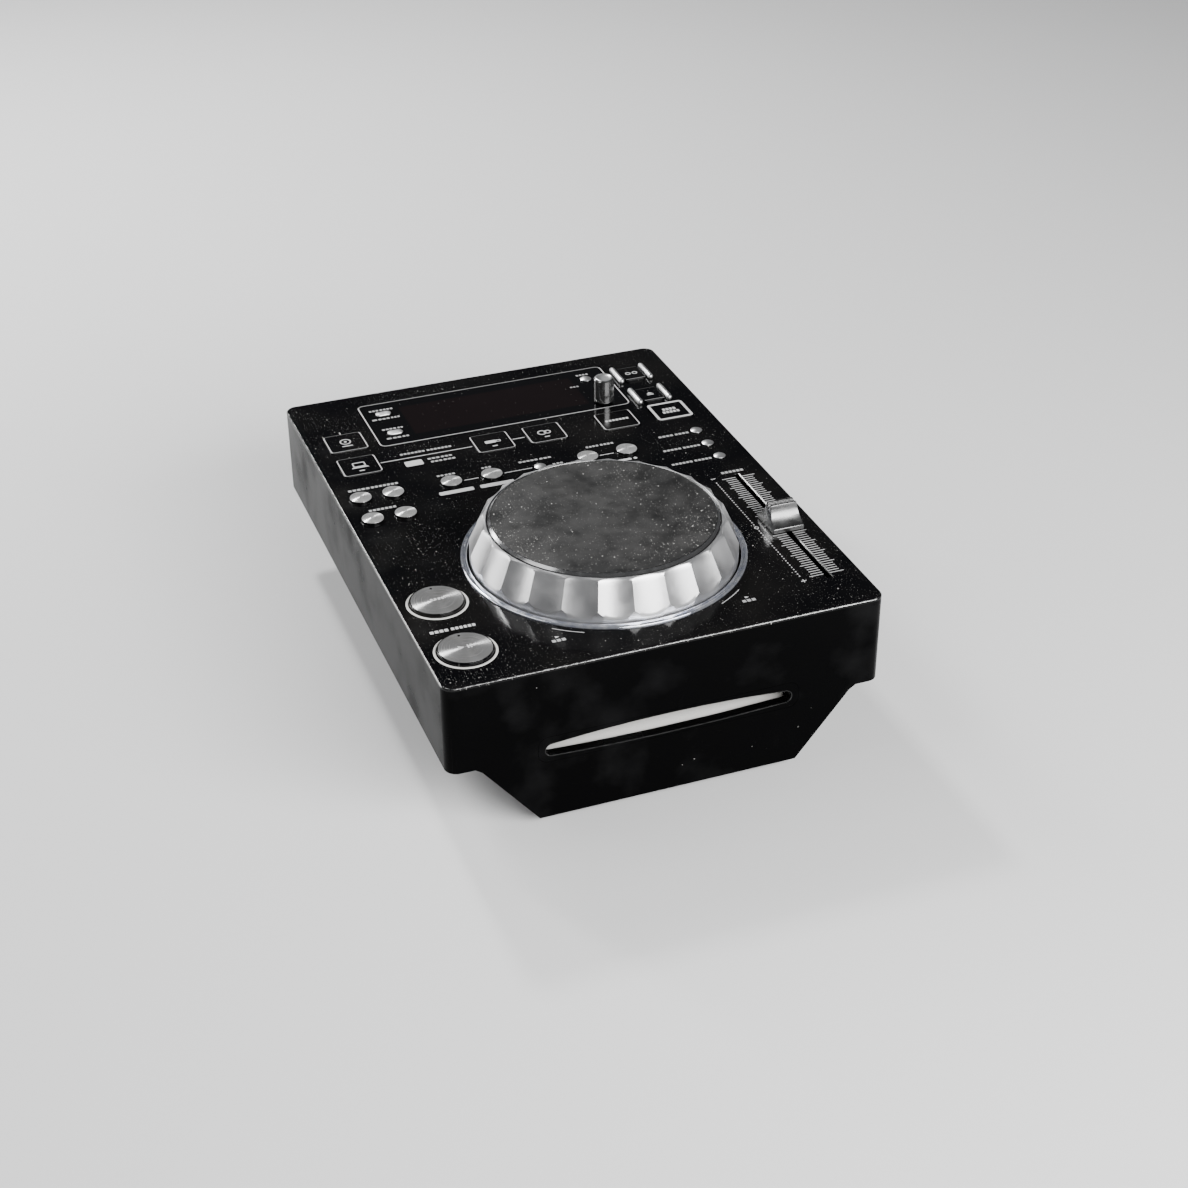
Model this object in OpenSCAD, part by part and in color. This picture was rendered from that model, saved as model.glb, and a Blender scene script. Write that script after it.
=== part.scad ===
// Tabletop slot-loading disc player with a jog dial, as the set of its separate pieces.
// +X is to the right of whoever plays it, +Y is towards the socket panel and +Z is up.
// The origin lies on the table, under the middle of the case. Lengths are in millimetres.

/* [Case] */
// Overall width
case_w = 217.9; // [216:0.1:230]
// Overall depth
case_d = 296.3; // [295:0.1:320]
// Height of the control panel above the table
panel_z = 86.5; // [86:0.1:96]
// Radius of the upright corners
corner_r = 6; // [4:0.5:8]
// Wall thickness of the two cabinet mouldings
wall = 2.5; // [2:0.1:3]
// Height of the lower edge of the side walls
skirt_z = 40; // [39:0.1:41]
// How far the tray stands in from the side walls
tray_in = 12.95; // [12:0.05:15]
// Width of the flat floor of the tray
floor_w = 131; // [128:0.5:134]
// How far the shoulder of the tray steps in before it slopes
shoulder_in = 3.4; // [2:0.1:5]
// How far that shoulder drops
shoulder_drop = 2.3; // [1:0.1:3]
// Gap between a moulding and what slips into it
fit_gap = 0.2; // [0.1:0.05:0.3]
// Clearance round a shaft, pin or screw
run_gap = 0.05; // [0.03:0.01:0.08]

/* [Top plate and deck] */
// Thickness of the glossy top plate
plate_t = 1.5; // [1:0.1:2]
// Chamfer round the top edge of the plate
plate_edge = 0.5; // [0.3:0.1:0.8]
// Thickness of the deck that carries the plate
deck_t = 2.5; // [2:0.1:3]

/* [Keys] */
// Radius of the domed transport keys
key_r = 6.25; // [5.5:0.05:6.8]
// Radius of the small mode keys
mode_r = 3.4; // [3:0.05:4]
// Width of the square keys
square_w = 21.5; // [19:0.1:22.5]
// Depth of the square keys
square_d = 20.4; // [18:0.1:21]
// Width of the stop and eject keys
stop_w = 13; // [11:0.1:13.5]
// Depth of the stop and eject keys
stop_d = 16; // [14:0.1:17]
// Length of the oblong display keys
oblong_w = 10; // [8:0.1:11]
// Depth of the oblong display keys
oblong_d = 6; // [5:0.1:7]
// Height of the keys' edges above the panel
key_rise = 1; // [0.6:0.1:1.6]
// Height of the dome on the round keys
key_dome = 1.2; // [0.8:0.1:1.6]
// How far a key goes down
key_travel = 1.2; // [0.8:0.1:1.5]
// Gap round a key
key_gap = 0.2; // [0.15:0.05:0.3]
// Thickness of the stop flange under a key
key_flange = 1.2; // [1:0.1:1.6]
// How far that flange stands out
key_lip = 1.2; // [0.8:0.1:1.5]
// Height of a switch on the panel board
switch_h = 4.2; // [3.5:0.1:5]
// Radius of the cue and play keys
play_r = 13.2; // [12:0.1:13.8]
// Width of the light ring round the cue and play keys
ring_w = 1.3; // [1:0.1:2]
// Length of the chrome bars beside the stop and eject keys
guard_len = 18; // [15:0.5:20]
// Radius of those bars
guard_r = 1.6; // [1.3:0.1:1.8]

/* [Key rows and columns] */
// Left column of square keys, from the left side
left_col_in = 20.75; // [19:0.05:22]
// Cue and play keys, from the left side
play_in = 18.95; // [18:0.05:21]
// First column of track keys, from the left side
track_in = 11.95; // [11:0.05:13]
// Distance between the two columns of track keys
track_pitch = 17.2; // [16:0.1:18]
// Tempo column, from the right side
tempo_in = 16.75; // [16.5:0.05:18]
// Bottom square key on the right, from the right side
lock_in = 21.05; // [20:0.05:22]
// Stop and eject keys, from the right side
stop_in = 24.3; // [23:0.05:25]
// Distance between the playlist key and that key
playlist_pitch = 31.3; // [29:0.1:34]
// Rotary knob and menu key, from the right end of the window
select_in = 12.4; // [11:0.1:13]
// Oblong display keys, from the left end of the window
oblong_in = 11; // [8:0.1:12]
// Pair of source keys, from the middle
source_x = 14.8; // [13.5:0.1:18]
// Inner loop keys, from the middle
loop_inner_x = 26.6; // [22:0.1:28]
// Outer loop keys, from the middle
loop_outer_x = 48.6; // [44:0.1:52]
// Row of the stop key, from the rear
stop_row = 31.4; // [30:0.1:33]
// Row of the eject key, from the rear
eject_row = 59.4; // [57:0.1:61]
// Row of the first source key, from the rear
disc_row = 53.3; // [50:0.1:55]
// Row of the other square keys, from the rear
source_row = 81.1; // [80:0.1:84]
// Shift of the loop and track keys from halfway between the source keys and the jog dial
loop_shift = -0.7; // [-1:0.1:3]
// Distance between the track keys and the search keys
search_pitch = 22.8; // [17:0.1:24]
// Row of the menu and time keys, from the rear
menu_row = 27.2; // [25:0.1:29]
// Row of the text key, from the rear
text_row = 50.8; // [48:0.1:53]
// Row of the rotary knob, from the rear
select_row = 56.2; // [54:0.1:57]
// Row of the top mode key beside the jog, from the rear
mode_row = 107.8; // [106:0.1:110]
// Distance between those mode keys
mode_pitch = 15.6; // [14:0.1:16]
// Cue key, from the front
cue_row = 70.9; // [68:0.1:74]
// Play key, from the front
play_row = 27.2; // [24:0.1:29]

/* [Display] */
// How far the window stands in from the sides
window_in = 37.95; // [37:0.05:40]
// Depth of the window
window_d = 49.5; // [47:0.5:51]
// Middle of the window, from the rear
window_row = 38.9; // [38:0.1:41]
// How far the lit glass stands in from the ends of the window
glass_in = 21; // [20.5:0.1:26]
// Depth of the lit glass
glass_d = 43; // [38:0.5:44]

/* [Jog dial] */
// Middle of the jog dial, from the front
jog_row = 87.15; // [84:0.05:89]
// How far the foot of the dial stands in from the sides
dial_in = 43.25; // [42.5:0.05:45]
// How far the flutes lean in from the foot of the dial to its top
flute_in = 7.8; // [6:0.1:9]
// Height of the rim of the dial above the panel
dial_rise = 19.9; // [18:0.1:20.2]
// Height above the panel at which the flutes run out
flute_foot = 2; // [1:0.1:4]
// Number of flutes
flutes = 24; // [18:1:30]
// Radius of the cutter that leaves a flute
flute_r = 32; // [26:1:40]
// Turn of the flutes at rest, in degrees
flute_turn = -0.8; // [-7:0.1:7]
// How far the edge of the touch plate stands in from the top of the flutes
jog_plate_in = 1.5; // [1.3:0.1:3]
// Height of the touch plate above the panel
jog_rise = 21.1; // [20.6:0.1:22]
// Thickness of the touch plate
jog_plate_t = 2; // [1.6:0.1:2.2]
// Width of the bevel round the touch plate
jog_bevel_w = 1.7; // [1:0.1:2.5]
// Drop of that bevel
jog_bevel_h = 1.1; // [0.6:0.1:1.4]
// How far the touch plate goes down
jog_press = 0.6; // [0.3:0.1:0.7]
// Radius of the spindle that the dial turns on
jog_pin_r = 4; // [3.5:0.1:4.5]
// Gap between the foot of the dial and the collar
collar_gap = 1.2; // [0.9:0.1:1.5]
// Width of the collar
collar_w = 3.2; // [2.8:0.1:4]
// Height of the collar above the panel
collar_h = 1; // [0.6:0.1:1.4]

/* [Tempo fader] */
// Front end of the fader slot, from the front
slot_front = 26.2; // [24:0.1:30]
// Rear end of the fader slot, from the rear
slot_rear = 160.1; // [158:0.1:164]
// Width of the slot
slot_w = 2.6; // [2.2:0.1:3.6]
// What is left of the slot at either end when the knob is at its stop
slot_spare = 5; // [4:0.5:8]
// Width of the knob at its foot
knob_w = 16.8; // [15:0.1:18]
// Length of the knob at its foot
knob_len = 19; // [17:0.1:21]
// Height of the knob
knob_h = 12; // [11:0.1:14]
// Height of the upright lip round the foot of the knob
knob_lip = 2.2; // [1.5:0.1:3]
// Length of the ridge on top of the knob
knob_ridge = 5.2; // [4.4:0.1:6.5]
// Radius of the finger hollows in the knob
knob_hollow = 13; // [10:0.5:18]

/* [Rotary knob] */
// Radius of the rotary knob
select_r = 5.6; // [5:0.1:6]
// Height of the rotary knob above the panel
select_h = 14.7; // [12:0.1:17]
// Radius of its shaft
shaft_r = 3; // [2.5:0.1:3.2]
// How far the rotary knob goes down
select_press = 0.6; // [0.4:0.1:0.7]

/* [Disc slot] */
// Width of the mouth
mouth_w = 124.6; // [123:0.1:126]
// Height of the mouth at its middle
mouth_h = 10.3; // [9.6:0.1:11]
// Rise of the mouth's upper arc
mouth_arch = 3; // [1:0.1:3.5]
// Sag of the mouth's lower arc
mouth_sag = 1.8; // [1:0.1:2.4]
// Height of the underside of a disc above the table
disc_z = 42.3; // [42:0.1:43]
// Height of the mouth's upper arc above a disc
mouth_rise = 5.2; // [4.8:0.1:6]
// Radius of a disc
disc_r = 60; // [60:0.5:60]
// Depth of the lip round the mouth
lip_d = 4.9; // [4.2:0.1:8]
// Thickness of the felt
felt_t = 1.6; // [1:0.1:1.8]

/* [Disc drive] */
// Spindle of the drive, from the front
spindle_in = 98.15; // [97:0.05:100]
// Feed roller, from the front
roller_in = 32.15; // [32:0.05:33]
// Radius of the feed roller at its ends
roller_r = 3.9; // [3.5:0.1:4]
// Half the width of the drive chassis
chassis_x = 70; // [68:0.5:72]
// Height of the drive chassis above the table
chassis_z = 22; // [20:0.5:22.5]
// Thickness of the drive's sheet metal
sheet_t = 1.5; // [1.2:0.1:1.6]
// Travel of the pickup sled
sled_travel = 35; // [30:0.5:36]
// Distance from the spindle to the lens at rest
lens_in = 23; // [23:0.5:24]
// Angle to which the clamp arm is lifted, in degrees
clamp_lift = 5; // [4:0.5:6]
// Distance from the spindle back to the pivot of the clamp arm
arm_len = 70; // [66:0.5:72]

/* [Rear panel] */
// Depth of the recess for the sockets
recess_d = 9; // [8.5:0.1:11]
// How far the recess stands in from the sides
recess_in = 20.95; // [19:0.05:24]
// Lower edge of the recess
recess_z0 = 47; // [46:0.1:49]
// Upper edge of the recess
recess_z1 = 78; // [76:0.1:78.5]

/* [Feet and screws] */
// Height of the feet
foot_h = 4; // [3:0.1:5]
// Radius of the feet
foot_r = 9; // [7:0.5:11]
// Sideways distance of the feet from the middle
foot_x = 48; // [40:1:54]
// Distance of the feet from the front and rear
foot_in = 23; // [18:1:30]
// Radius of the screws
screw_r = 1.45; // [1.2:0.05:1.6]
// Radius of the screw heads
head_r = 3; // [2.6:0.1:3.4]

/* [Hidden] */
$fn = 64;

// Fine overlap that makes cuts run past a face
eps = 0.01;
// Gap between two pieces that are pressed together
press_gap = 0.02;
side_x = case_w/2;
front_y = -case_d/2;
rear_y = case_d/2;

// Levels under the panel
chin_x = side_x - tray_in;
deck_top = panel_z - plate_t;
deck_bot = deck_top - deck_t;
flange_top = deck_bot - key_gap;
flange_bot = flange_top - key_flange;
switch_top = flange_bot - key_travel - 0.1;
board_t = 1.6;
board_top = switch_top - switch_h;
board_bot = board_top - board_t;

// Where the keys stand
left_x = -side_x + left_col_in;
track_x = -side_x + track_in;
play_x = -side_x + play_in;
tempo_x = side_x - tempo_in;
stop_x = side_x - stop_in;
source_y = rear_y - source_row;
jog_y = front_y + jog_row;
dial_r = side_x - dial_in;
collar_in_r = dial_r + collar_gap;
collar_r = collar_in_r + collar_w;
loop_y = (jog_y + collar_r + source_y - square_d/2)/2 + loop_shift;
search_y = loop_y - search_pitch;
window_x = side_x - window_in;
oblong_x = window_x - oblong_in;
select_x = window_x - select_in;
mode_y = rear_y - mode_row;
source_disc_at = [left_x, rear_y - disc_row];
source_computer_at = [left_x, source_y];
source_stick_at = [-source_x, source_y];
source_link_at = [source_x, source_y];
lock_at = [side_x - lock_in, source_y];
playlist_at = [lock_at[0] - playlist_pitch, source_y];
stop_at = [stop_x, rear_y - stop_row];
eject_at = [stop_x, rear_y - eject_row];
time_at = [-oblong_x, rear_y - menu_row];
text_at = [-oblong_x, rear_y - text_row];
menu_at = [select_x, rear_y - menu_row];
select_at = [select_x, rear_y - select_row];
jog_mode_at = [tempo_x, mode_y];
range_at = [tempo_x, mode_y - mode_pitch];
master_at = [tempo_x, mode_y - 2*mode_pitch];
track_back_at = [track_x, loop_y];
track_next_at = [track_x + track_pitch, loop_y];
search_back_at = [track_x, search_y];
search_next_at = [track_x + track_pitch, search_y];
loop_in_at = [-loop_outer_x, loop_y];
loop_out_at = [-loop_inner_x, loop_y];
loop_exit_at = [0, loop_y];
half_at = [loop_inner_x, loop_y];
double_at = [loop_outer_x, loop_y];
cue_at = [play_x, front_y + cue_row];
play_at = [play_x, front_y + play_row];
round_keys = [track_back_at, track_next_at, search_back_at, search_next_at,
    loop_in_at, loop_out_at, half_at, double_at];
mode_keys = [loop_exit_at, menu_at, jog_mode_at, range_at, master_at];
square_keys = [source_disc_at, source_computer_at, source_stick_at, source_link_at, playlist_at, lock_at];
stop_keys = [stop_at, eject_at];
oblong_keys = [time_at, text_at];
play_keys = [cue_at, play_at];
square_round = 2.5;
square_rise = 0.7*key_rise;
stop_rise = 1.4*key_rise;
mode_rise = 0.7*key_rise;
mode_dome = 0.6*key_dome;
play_rise = 1.8;
play_dome = 0.8;
ring_gap = 0.35;
ring_in_r = play_r + ring_gap;
ring_out_r = ring_in_r + ring_w;
ring_rise = 0.6;

// Display
window_w = 2*window_x;
glass_w = window_w - 2*glass_in;
window_at = [0, rear_y - window_row];
window_round = 3;
window_gap = 0.15;
glass_gap = 2;
module_board_t = 2;
module_board_z = deck_bot - 5;

// Jog dial
dial_top_r = dial_r - flute_in;
jog_plate_r = dial_top_r - jog_plate_in;
dial_z0 = deck_top + 0.5;
dial_z1 = panel_z + dial_rise;
jog_top = panel_z + jog_rise;
jog_under = jog_top - jog_plate_t;
flute_z0 = panel_z + flute_foot;
flute_lean = atan((dial_r - dial_top_r)/(dial_z1 - flute_z0));
recess_r = jog_plate_r + 0.7;
web_z1 = jog_under - 4.1;
web_t = 2.5;
web_z0 = web_z1 - web_t;
hub_z0 = deck_top + 2.8;
hub_z1 = web_z1 + 1.5;
hub_r = 8;
hub_step_r = 10;
spindle_flange_r = 15;
skirt_in_r = dial_top_r - 3.6;
wheel_z1 = web_z0 - 5;
wheel_t = 0.8;
wheel_r = skirt_in_r - 8.3;
collar_neck_r = collar_in_r + 1.2;

// Tempo fader
slot_len = case_d - slot_front - slot_rear;
tempo_y = front_y + slot_front + slot_len/2;
tempo_throw = slot_len/2 - slot_spare;
fader_h = 11.5;
fader_w = 18.4;
fader_wall = 1.2;
fader_end = 9;
blade_gap = 0.5;
blade_w = slot_w - 2*blade_gap;
blade_len = 6;
knob_top_w = knob_w - 3;
knob_z0 = panel_z + 0.4;
knob_groove = 1.1;
hollow_top = [knob_ridge/2, knob_h];
hollow_foot = [knob_len/2, knob_lip];
hollow_chord = norm(hollow_foot - hollow_top);
hollow_off = sqrt(knob_hollow*knob_hollow - hollow_chord*hollow_chord/4);
hollow_dir = [hollow_top[1] - hollow_foot[1], hollow_foot[0] - hollow_top[0]]/hollow_chord;
hollow_at = (hollow_top + hollow_foot)/2 + hollow_off*hollow_dir;

// Rotary knob
select_z0 = panel_z + select_press + 0.15;
select_len = panel_z + select_h - select_z0;
select_cap = 3;
select_chamfer = 0.8;
encoder_w = 12;
encoder_z1 = deck_bot - 0.3;
shaft_z0 = board_top + select_press + 0.2;

// Disc slot
mouth_mid_x = mouth_w/2 - 3.5;
mouth_z1 = disc_z + mouth_rise;
mouth_z0 = mouth_z1 - mouth_h;
mouth_top_r = (mouth_w*mouth_w/4 + mouth_arch*mouth_arch)/(2*mouth_arch);
mouth_low_r = (mouth_w*mouth_w/4 + mouth_sag*mouth_sag)/(2*mouth_sag);
bezel_wall = 1.9;
bezel_x = mouth_w/2 + 3.4;
bezel_z0 = mouth_z0 - bezel_wall;
bezel_z1 = mouth_z1 + bezel_wall;
guide_x = mouth_w/2 + 0.5;
guide_z0 = mouth_z0 - 0.7 - felt_t;
guide_z1 = mouth_z1 - 0.5 + felt_t;
guide_t = 1.7;
guide_depth = 26.6;
guide_y1 = front_y + guide_depth;
bezel_flange = 2;

// Disc drive
spindle_y = front_y + spindle_in;
roller_y = front_y + roller_in;
roller_z = disc_z - roller_r;
chassis_y0 = front_y + 27.2;
chassis_len = 148.8;
chassis_y1 = chassis_y0 + chassis_len;
chassis_top = disc_z + 14;
front_bar_z = disc_z + 7.7;
plate_top = chassis_z + sheet_t;
hub_t = 2;
turn_r = 14;
cone_r = 7.4;
cone_h = 2.5;
motor_r = 11;
motor_top = disc_z - hub_t - 2.8;
spindle_r = 1;
lens_y = spindle_y + lens_in;
sled_half = 8.5;
sled_x = 29;
sled_z0 = plate_top + 3.5;
sled_z1 = disc_z - 4;
rod_r = 1.5;
rod_x = 24;
rod_z = sled_z0 + 5;
rod_y0 = lens_y - sled_half - 4.6;
rod_y1 = lens_y + sled_travel + sled_half + 9;
lug_t = 4;
tooth_m = 1;
gear_teeth = 12;
gear_pitch_r = tooth_m*gear_teeth/2;
tooth_step = PI*tooth_m;
tooth_w = 1.2;
tooth_tip = 0.6;
rack_x = sled_x + 4.2;
gear_x = rack_x + gear_pitch_r;
gear_y = spindle_y + 42;
gear_z0 = sled_z0 + 1;
gear_t = 4;
arm_y = spindle_y + arm_len;
arm_t = 1.5;
arm_z = disc_z + 8.2;
arm_half = 16;
pivot_z = arm_z + arm_t/2;
pivot_r = 1.5;
puck_r = 14;
puck_neck_r = 8;
puck_z0 = disc_z + 1.3;
puck_z1 = arm_z - 0.5;
puck_top_z0 = arm_z + arm_t + 0.5;
can_r = 8;
can_len = 10;
roller_can_r = 7;
roller_can_len = 5;

// Rear panel and its sockets
rear_face = rear_y - recess_d;
rear_t = 1.5;
rear_mid_z = (recess_z0 + recess_z1)/2;
recess_w = 2*(side_x - recess_in);
inlet_x = recess_w/2 - 18;
rocker_x = inlet_x - 26;
phono_x = [-30, -46];
control_x = -12;
data_b_x = 8;
data_a_x = -recess_w/2 + 14;
rocker_tilt = 9;
rocker_y = rear_face + 0.5;
socket_back = 12;

// Boards in the tray
tray_floor = foot_h + wall;
boards_z = tray_floor + 8;
boards_y0 = chassis_y1 + 10;
boards_y1 = rear_face - 8;
main_x = [-60, 10];
power_x = [16, 60];

// Screws between tray and cabinet
screw_x = side_x - 8.5;
screw_ys = [front_y + 28, 0, rear_y - 28];
screw_len = 15;
boss_r = 4;
boss_top = skirt_z + 22;
seat_r = 5;

// ---------- shared shapes ----------

module rounded_rect(w, d, r) {
    square([w - 2*r, d], center = true);
    square([w, d - 2*r], center = true);
    for (sx = [-1, 1], sy = [-1, 1])
        translate([sx*(w/2 - r), sy*(d/2 - r)])
            circle(r = r);
}

// Extrudes an outline drawn in X and Z along Y, from y0 to y1
module along_y(y0, y1) {
    translate([0, y1, 0])
        rotate([90, 0, 0])
            linear_extrude(y1 - y0)
                children();
}

// Extrudes an outline drawn in Y and Z along X, from x0 to x1
module along_x(x0, x1) {
    translate([x0, 0, 0])
        rotate([90, 0, 90])
            linear_extrude(x1 - x0)
                children();
}

// Extrudes an outline drawn in X and Y upwards, from z0 to z1
module upwards(z0, z1) {
    translate([0, 0, z0])
        linear_extrude(z1 - z0)
            children();
}

module post(at, r, z0, z1) {
    translate([at[0], at[1], z0])
        cylinder(r = r, h = z1 - z0);
}

module slab(x, y, z) {
    translate([x[0], y[0], z[0]])
        cube([x[1] - x[0], y[1] - y[0], z[1] - z[0]]);
}

module ring(r_out, r_in, z0, z1) {
    difference() {
        translate([0, 0, z0])
            cylinder(r = r_out, h = z1 - z0, $fn = 128);
        translate([0, 0, z0 - 1])
            cylinder(r = r_in, h = z1 - z0 + 2, $fn = 128);
    }
}

// Shallow dome of radius r and height h, standing on z = 0
module dome(r, h) {
    ball_r = (r*r + h*h)/(2*h);
    intersection() {
        translate([0, 0, h - ball_r])
            sphere(r = ball_r, $fn = 128);
        cylinder(r = r + 1, h = h + 1);
    }
}

// Plate with upright rounded corners and a chamfer round its top edge
module chamfered_plate(w, d, r, t, c) {
    along_x(-w/2 + r, w/2 - r)
        polygon([[-d/2, 0], [d/2, 0], [d/2, t - c], [d/2 - c, t], [-d/2 + c, t], [-d/2, t - c]]);
    along_y(-d/2 + r, d/2 - r)
        polygon([[-w/2, 0], [w/2, 0], [w/2, t - c], [w/2 - c, t], [-w/2 + c, t], [-w/2, t - c]]);
    for (sx = [-1, 1], sy = [-1, 1])
        translate([sx*(w/2 - r), sy*(d/2 - r), 0])
            rotate_extrude()
                polygon([[0, 0], [r, 0], [r, t - c], [r - c, t], [0, t]]);
}

// ---------- keys ----------

module round_key(at, r, rise, dome_h) {
    post(at, r + key_lip, flange_bot, flange_top);
    post(at, r, flange_bot, panel_z + rise);
    translate([at[0], at[1], panel_z + rise])
        dome(r, dome_h);
}

module flat_key(at, w, d, r, rise) {
    edge = 0.4;
    shaft_h = panel_z + rise - flange_bot;
    translate([at[0], at[1], 0])
        upwards(flange_bot, flange_top)
            rounded_rect(w + 2*key_lip, d + 2*key_lip, r);
    translate([at[0], at[1], flange_bot])
        chamfered_plate(w, d, r, shaft_h, edge);
}

// Every hole that a key goes through, between two levels
module key_holes(z0, z1) {
    for (at = round_keys)
        post(at, key_r + key_gap, z0, z1);
    for (at = mode_keys)
        post(at, mode_r + key_gap, z0, z1);
    for (at = square_keys)
        translate(at)
            upwards(z0, z1)
                rounded_rect(square_w + 2*key_gap, square_d + 2*key_gap, square_round);
    for (at = stop_keys)
        translate(at)
            upwards(z0, z1)
                rounded_rect(stop_w + 2*key_gap, stop_d + 2*key_gap, square_round);
    for (at = oblong_keys)
        translate(at)
            upwards(z0, z1)
                rounded_rect(oblong_w + 2*key_gap, oblong_d + 2*key_gap, square_round);
}

module silver_key(at) {
    color("#c4c4c6") round_key(at, key_r, key_rise, key_dome);
}

module mode_key(at) {
    color("#d4d4d6") round_key(at, mode_r, mode_rise, mode_dome);
}

module square_key(at) {
    color("#161617") flat_key(at, square_w, square_d, square_round, square_rise);
}

module stop_key(at) {
    color("#1c1c1d") flat_key(at, stop_w, stop_d, square_round, stop_rise);
}

module oblong_key(at) {
    color("#b9b9bb") flat_key(at, oblong_w, oblong_d, square_round, key_rise);
}

module big_key(at) {
    color("#c0bfbd") round_key(at, play_r, play_rise, play_dome);
}

// ---------- casing ----------

// Cross-section of the tray: shoulder, slope and floor, drawn in X and Z and drawn in by an inset
module tray_outline(inset, floor_z) {
    top_x = chin_x - inset;
    low_x = floor_w/2 - inset;
    knee = [top_x - shoulder_in, skirt_z - shoulder_drop];
    polygon([[-top_x, skirt_z + eps], [-knee[0], knee[1]], [-low_x, floor_z],
        [low_x, floor_z], knee, [top_x, skirt_z + eps]]);
}

module screw_bosses() {
    for (sx = [-1, 1], y = screw_ys) {
        post([sx*screw_x, y], boss_r, skirt_z + wall, boss_top);
        slab([sx > 0 ? screw_x : -side_x + wall/2, sx > 0 ? side_x - wall/2 : -screw_x],
            [y - 1.5, y + 1.5], [skirt_z + wall, boss_top]);
    }
}

// Posts that carry the panel board, at places free of keys
post_r = 3;
search_post = 17.5;
dial_post = [37, 56];
left_post = [7, 112];
front_post = [41, 12];
rear_post = [5, 20];
board_posts = [[track_x + track_pitch, search_y - search_post],
    [side_x - dial_post[0], jog_y + dial_post[1]], [-side_x + left_post[0], front_y + left_post[1]],
    [-side_x + front_post[0], front_y + front_post[1]], [side_x - front_post[0], front_y + front_post[1]],
    [(source_disc_at[0] - source_x)/2, source_y], [(playlist_at[0] + source_x)/2, source_y],
    [-side_x + rear_post[0], rear_y - rear_post[1]], [side_x - rear_post[0], rear_y - rear_post[1]]];

module upper_cabinet() {
    color("#101011")
    difference() {
        union() {
            difference() {
                upwards(skirt_z, deck_top)
                    rounded_rect(case_w, case_d, corner_r);
                upwards(skirt_z - 1, deck_bot)
                    rounded_rect(case_w - 2*wall, case_d - 2*wall, max(corner_r - wall, 1));
            }
            along_y(front_y, front_y + wall)
                tray_outline(0, foot_h);
            along_y(rear_y - wall, rear_y)
                tray_outline(0, foot_h);
            along_y(rear_face, rear_y - wall + eps)
                translate([0, rear_mid_z])
                    square([recess_w + 2*wall, recess_z1 - recess_z0 + 2*wall], center = true);
            screw_bosses();
            for (at = board_posts)
                post(at, post_r, board_top, deck_bot + eps);
        }
        key_holes(deck_bot - 1, deck_top + 1);
        for (at = play_keys)
            post(at, play_r + key_gap, deck_bot - 1, deck_top + 1);
        translate(window_at)
            upwards(deck_bot - 1, deck_top + 1)
                square([glass_w + 2*glass_gap, glass_d + 2*glass_gap], center = true);
        post(select_at, shaft_r + 0.5, deck_bot - 1, deck_top + 1);
        post([0, jog_y], jog_pin_r + 1.5, deck_bot - 1, deck_top + 1);
        slab([tempo_x - slot_w/2, tempo_x + slot_w/2], [tempo_y - slot_len/2, tempo_y + slot_len/2],
            [deck_bot - 1, deck_top + 1]);
        along_y(front_y - 1, front_y + wall + 1)
            translate([0, (bezel_z0 + bezel_z1)/2])
                rounded_rect(2*bezel_x, bezel_z1 - bezel_z0, 5);
        along_y(rear_face - 1, rear_y + 1)
            translate([0, rear_mid_z])
                square([recess_w, recess_z1 - recess_z0], center = true);
        for (sx = [-1, 1], y = screw_ys)
            post([sx*screw_x, y], screw_r + run_gap, skirt_z, skirt_z + screw_len + 2);
    }
}

module lower_cabinet() {
    tray_y0 = front_y + wall + fit_gap;
    tray_y1 = rear_y - wall - fit_gap;
    rim_x = side_x - wall - fit_gap;
    rim_in = chin_x - 1.6*wall;
    color("#141415")
    difference() {
        union() {
            along_y(tray_y0, tray_y1)
                difference() {
                    union() {
                        tray_outline(0, foot_h);
                        for (sx = [-1, 1])
                            translate([sx*(rim_x + rim_in)/2, skirt_z + wall/2])
                                square([rim_x - rim_in, wall], center = true);
                    }
                    tray_outline(1.3*wall, tray_floor);
                    translate([0, skirt_z + wall/2])
                        square([2*rim_in, wall + 1], center = true);
                }
            for (sx = [-1, 1], y = [chassis_y0 + 12, chassis_y1 - 12])
                post([sx*56, y], seat_r, tray_floor - eps, chassis_z);
            for (x = [main_x[0] + 4, main_x[1] - 4, power_x[0] + 4, power_x[1] - 4],
                 y = [boards_y0 + 4, boards_y1 - 4])
                post([x, y], 3, tray_floor - eps, boards_z);
        }
        for (sx = [-1, 1], y = screw_ys)
            post([sx*screw_x, y], screw_r + 0.4, skirt_z - 1, skirt_z + wall + 1);
        for (sx = [-1, 1], sy = [-1, 1])
            translate([sx*rim_x, sy*tray_y1, skirt_z + wall/2])
                rotate([0, 0, 45])
                    cube([sqrt(2)*corner_r, sqrt(2)*corner_r, wall + 2], center = true);
    }
}

module top_plate() {
    collar_hole = collar_neck_r + 0.1;
    color("#0c0c0d")
    difference() {
        translate([0, 0, deck_top])
            chamfered_plate(case_w, case_d, corner_r, plate_t, plate_edge);
        key_holes(deck_top - 1, panel_z + 1);
        for (at = play_keys)
            post(at, ring_out_r + 0.1, deck_top - 1, panel_z + 1);
        translate(window_at)
            upwards(deck_top - 1, panel_z + 1)
                rounded_rect(window_w, window_d, window_round);
        translate([0, jog_y, deck_top - 1])
            cylinder(r = collar_hole, h = plate_t + 2, $fn = 128);
        slab([tempo_x - slot_w/2, tempo_x + slot_w/2], [tempo_y - slot_len/2, tempo_y + slot_len/2],
            [deck_top - 1, panel_z + 1]);
    }
}

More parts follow.
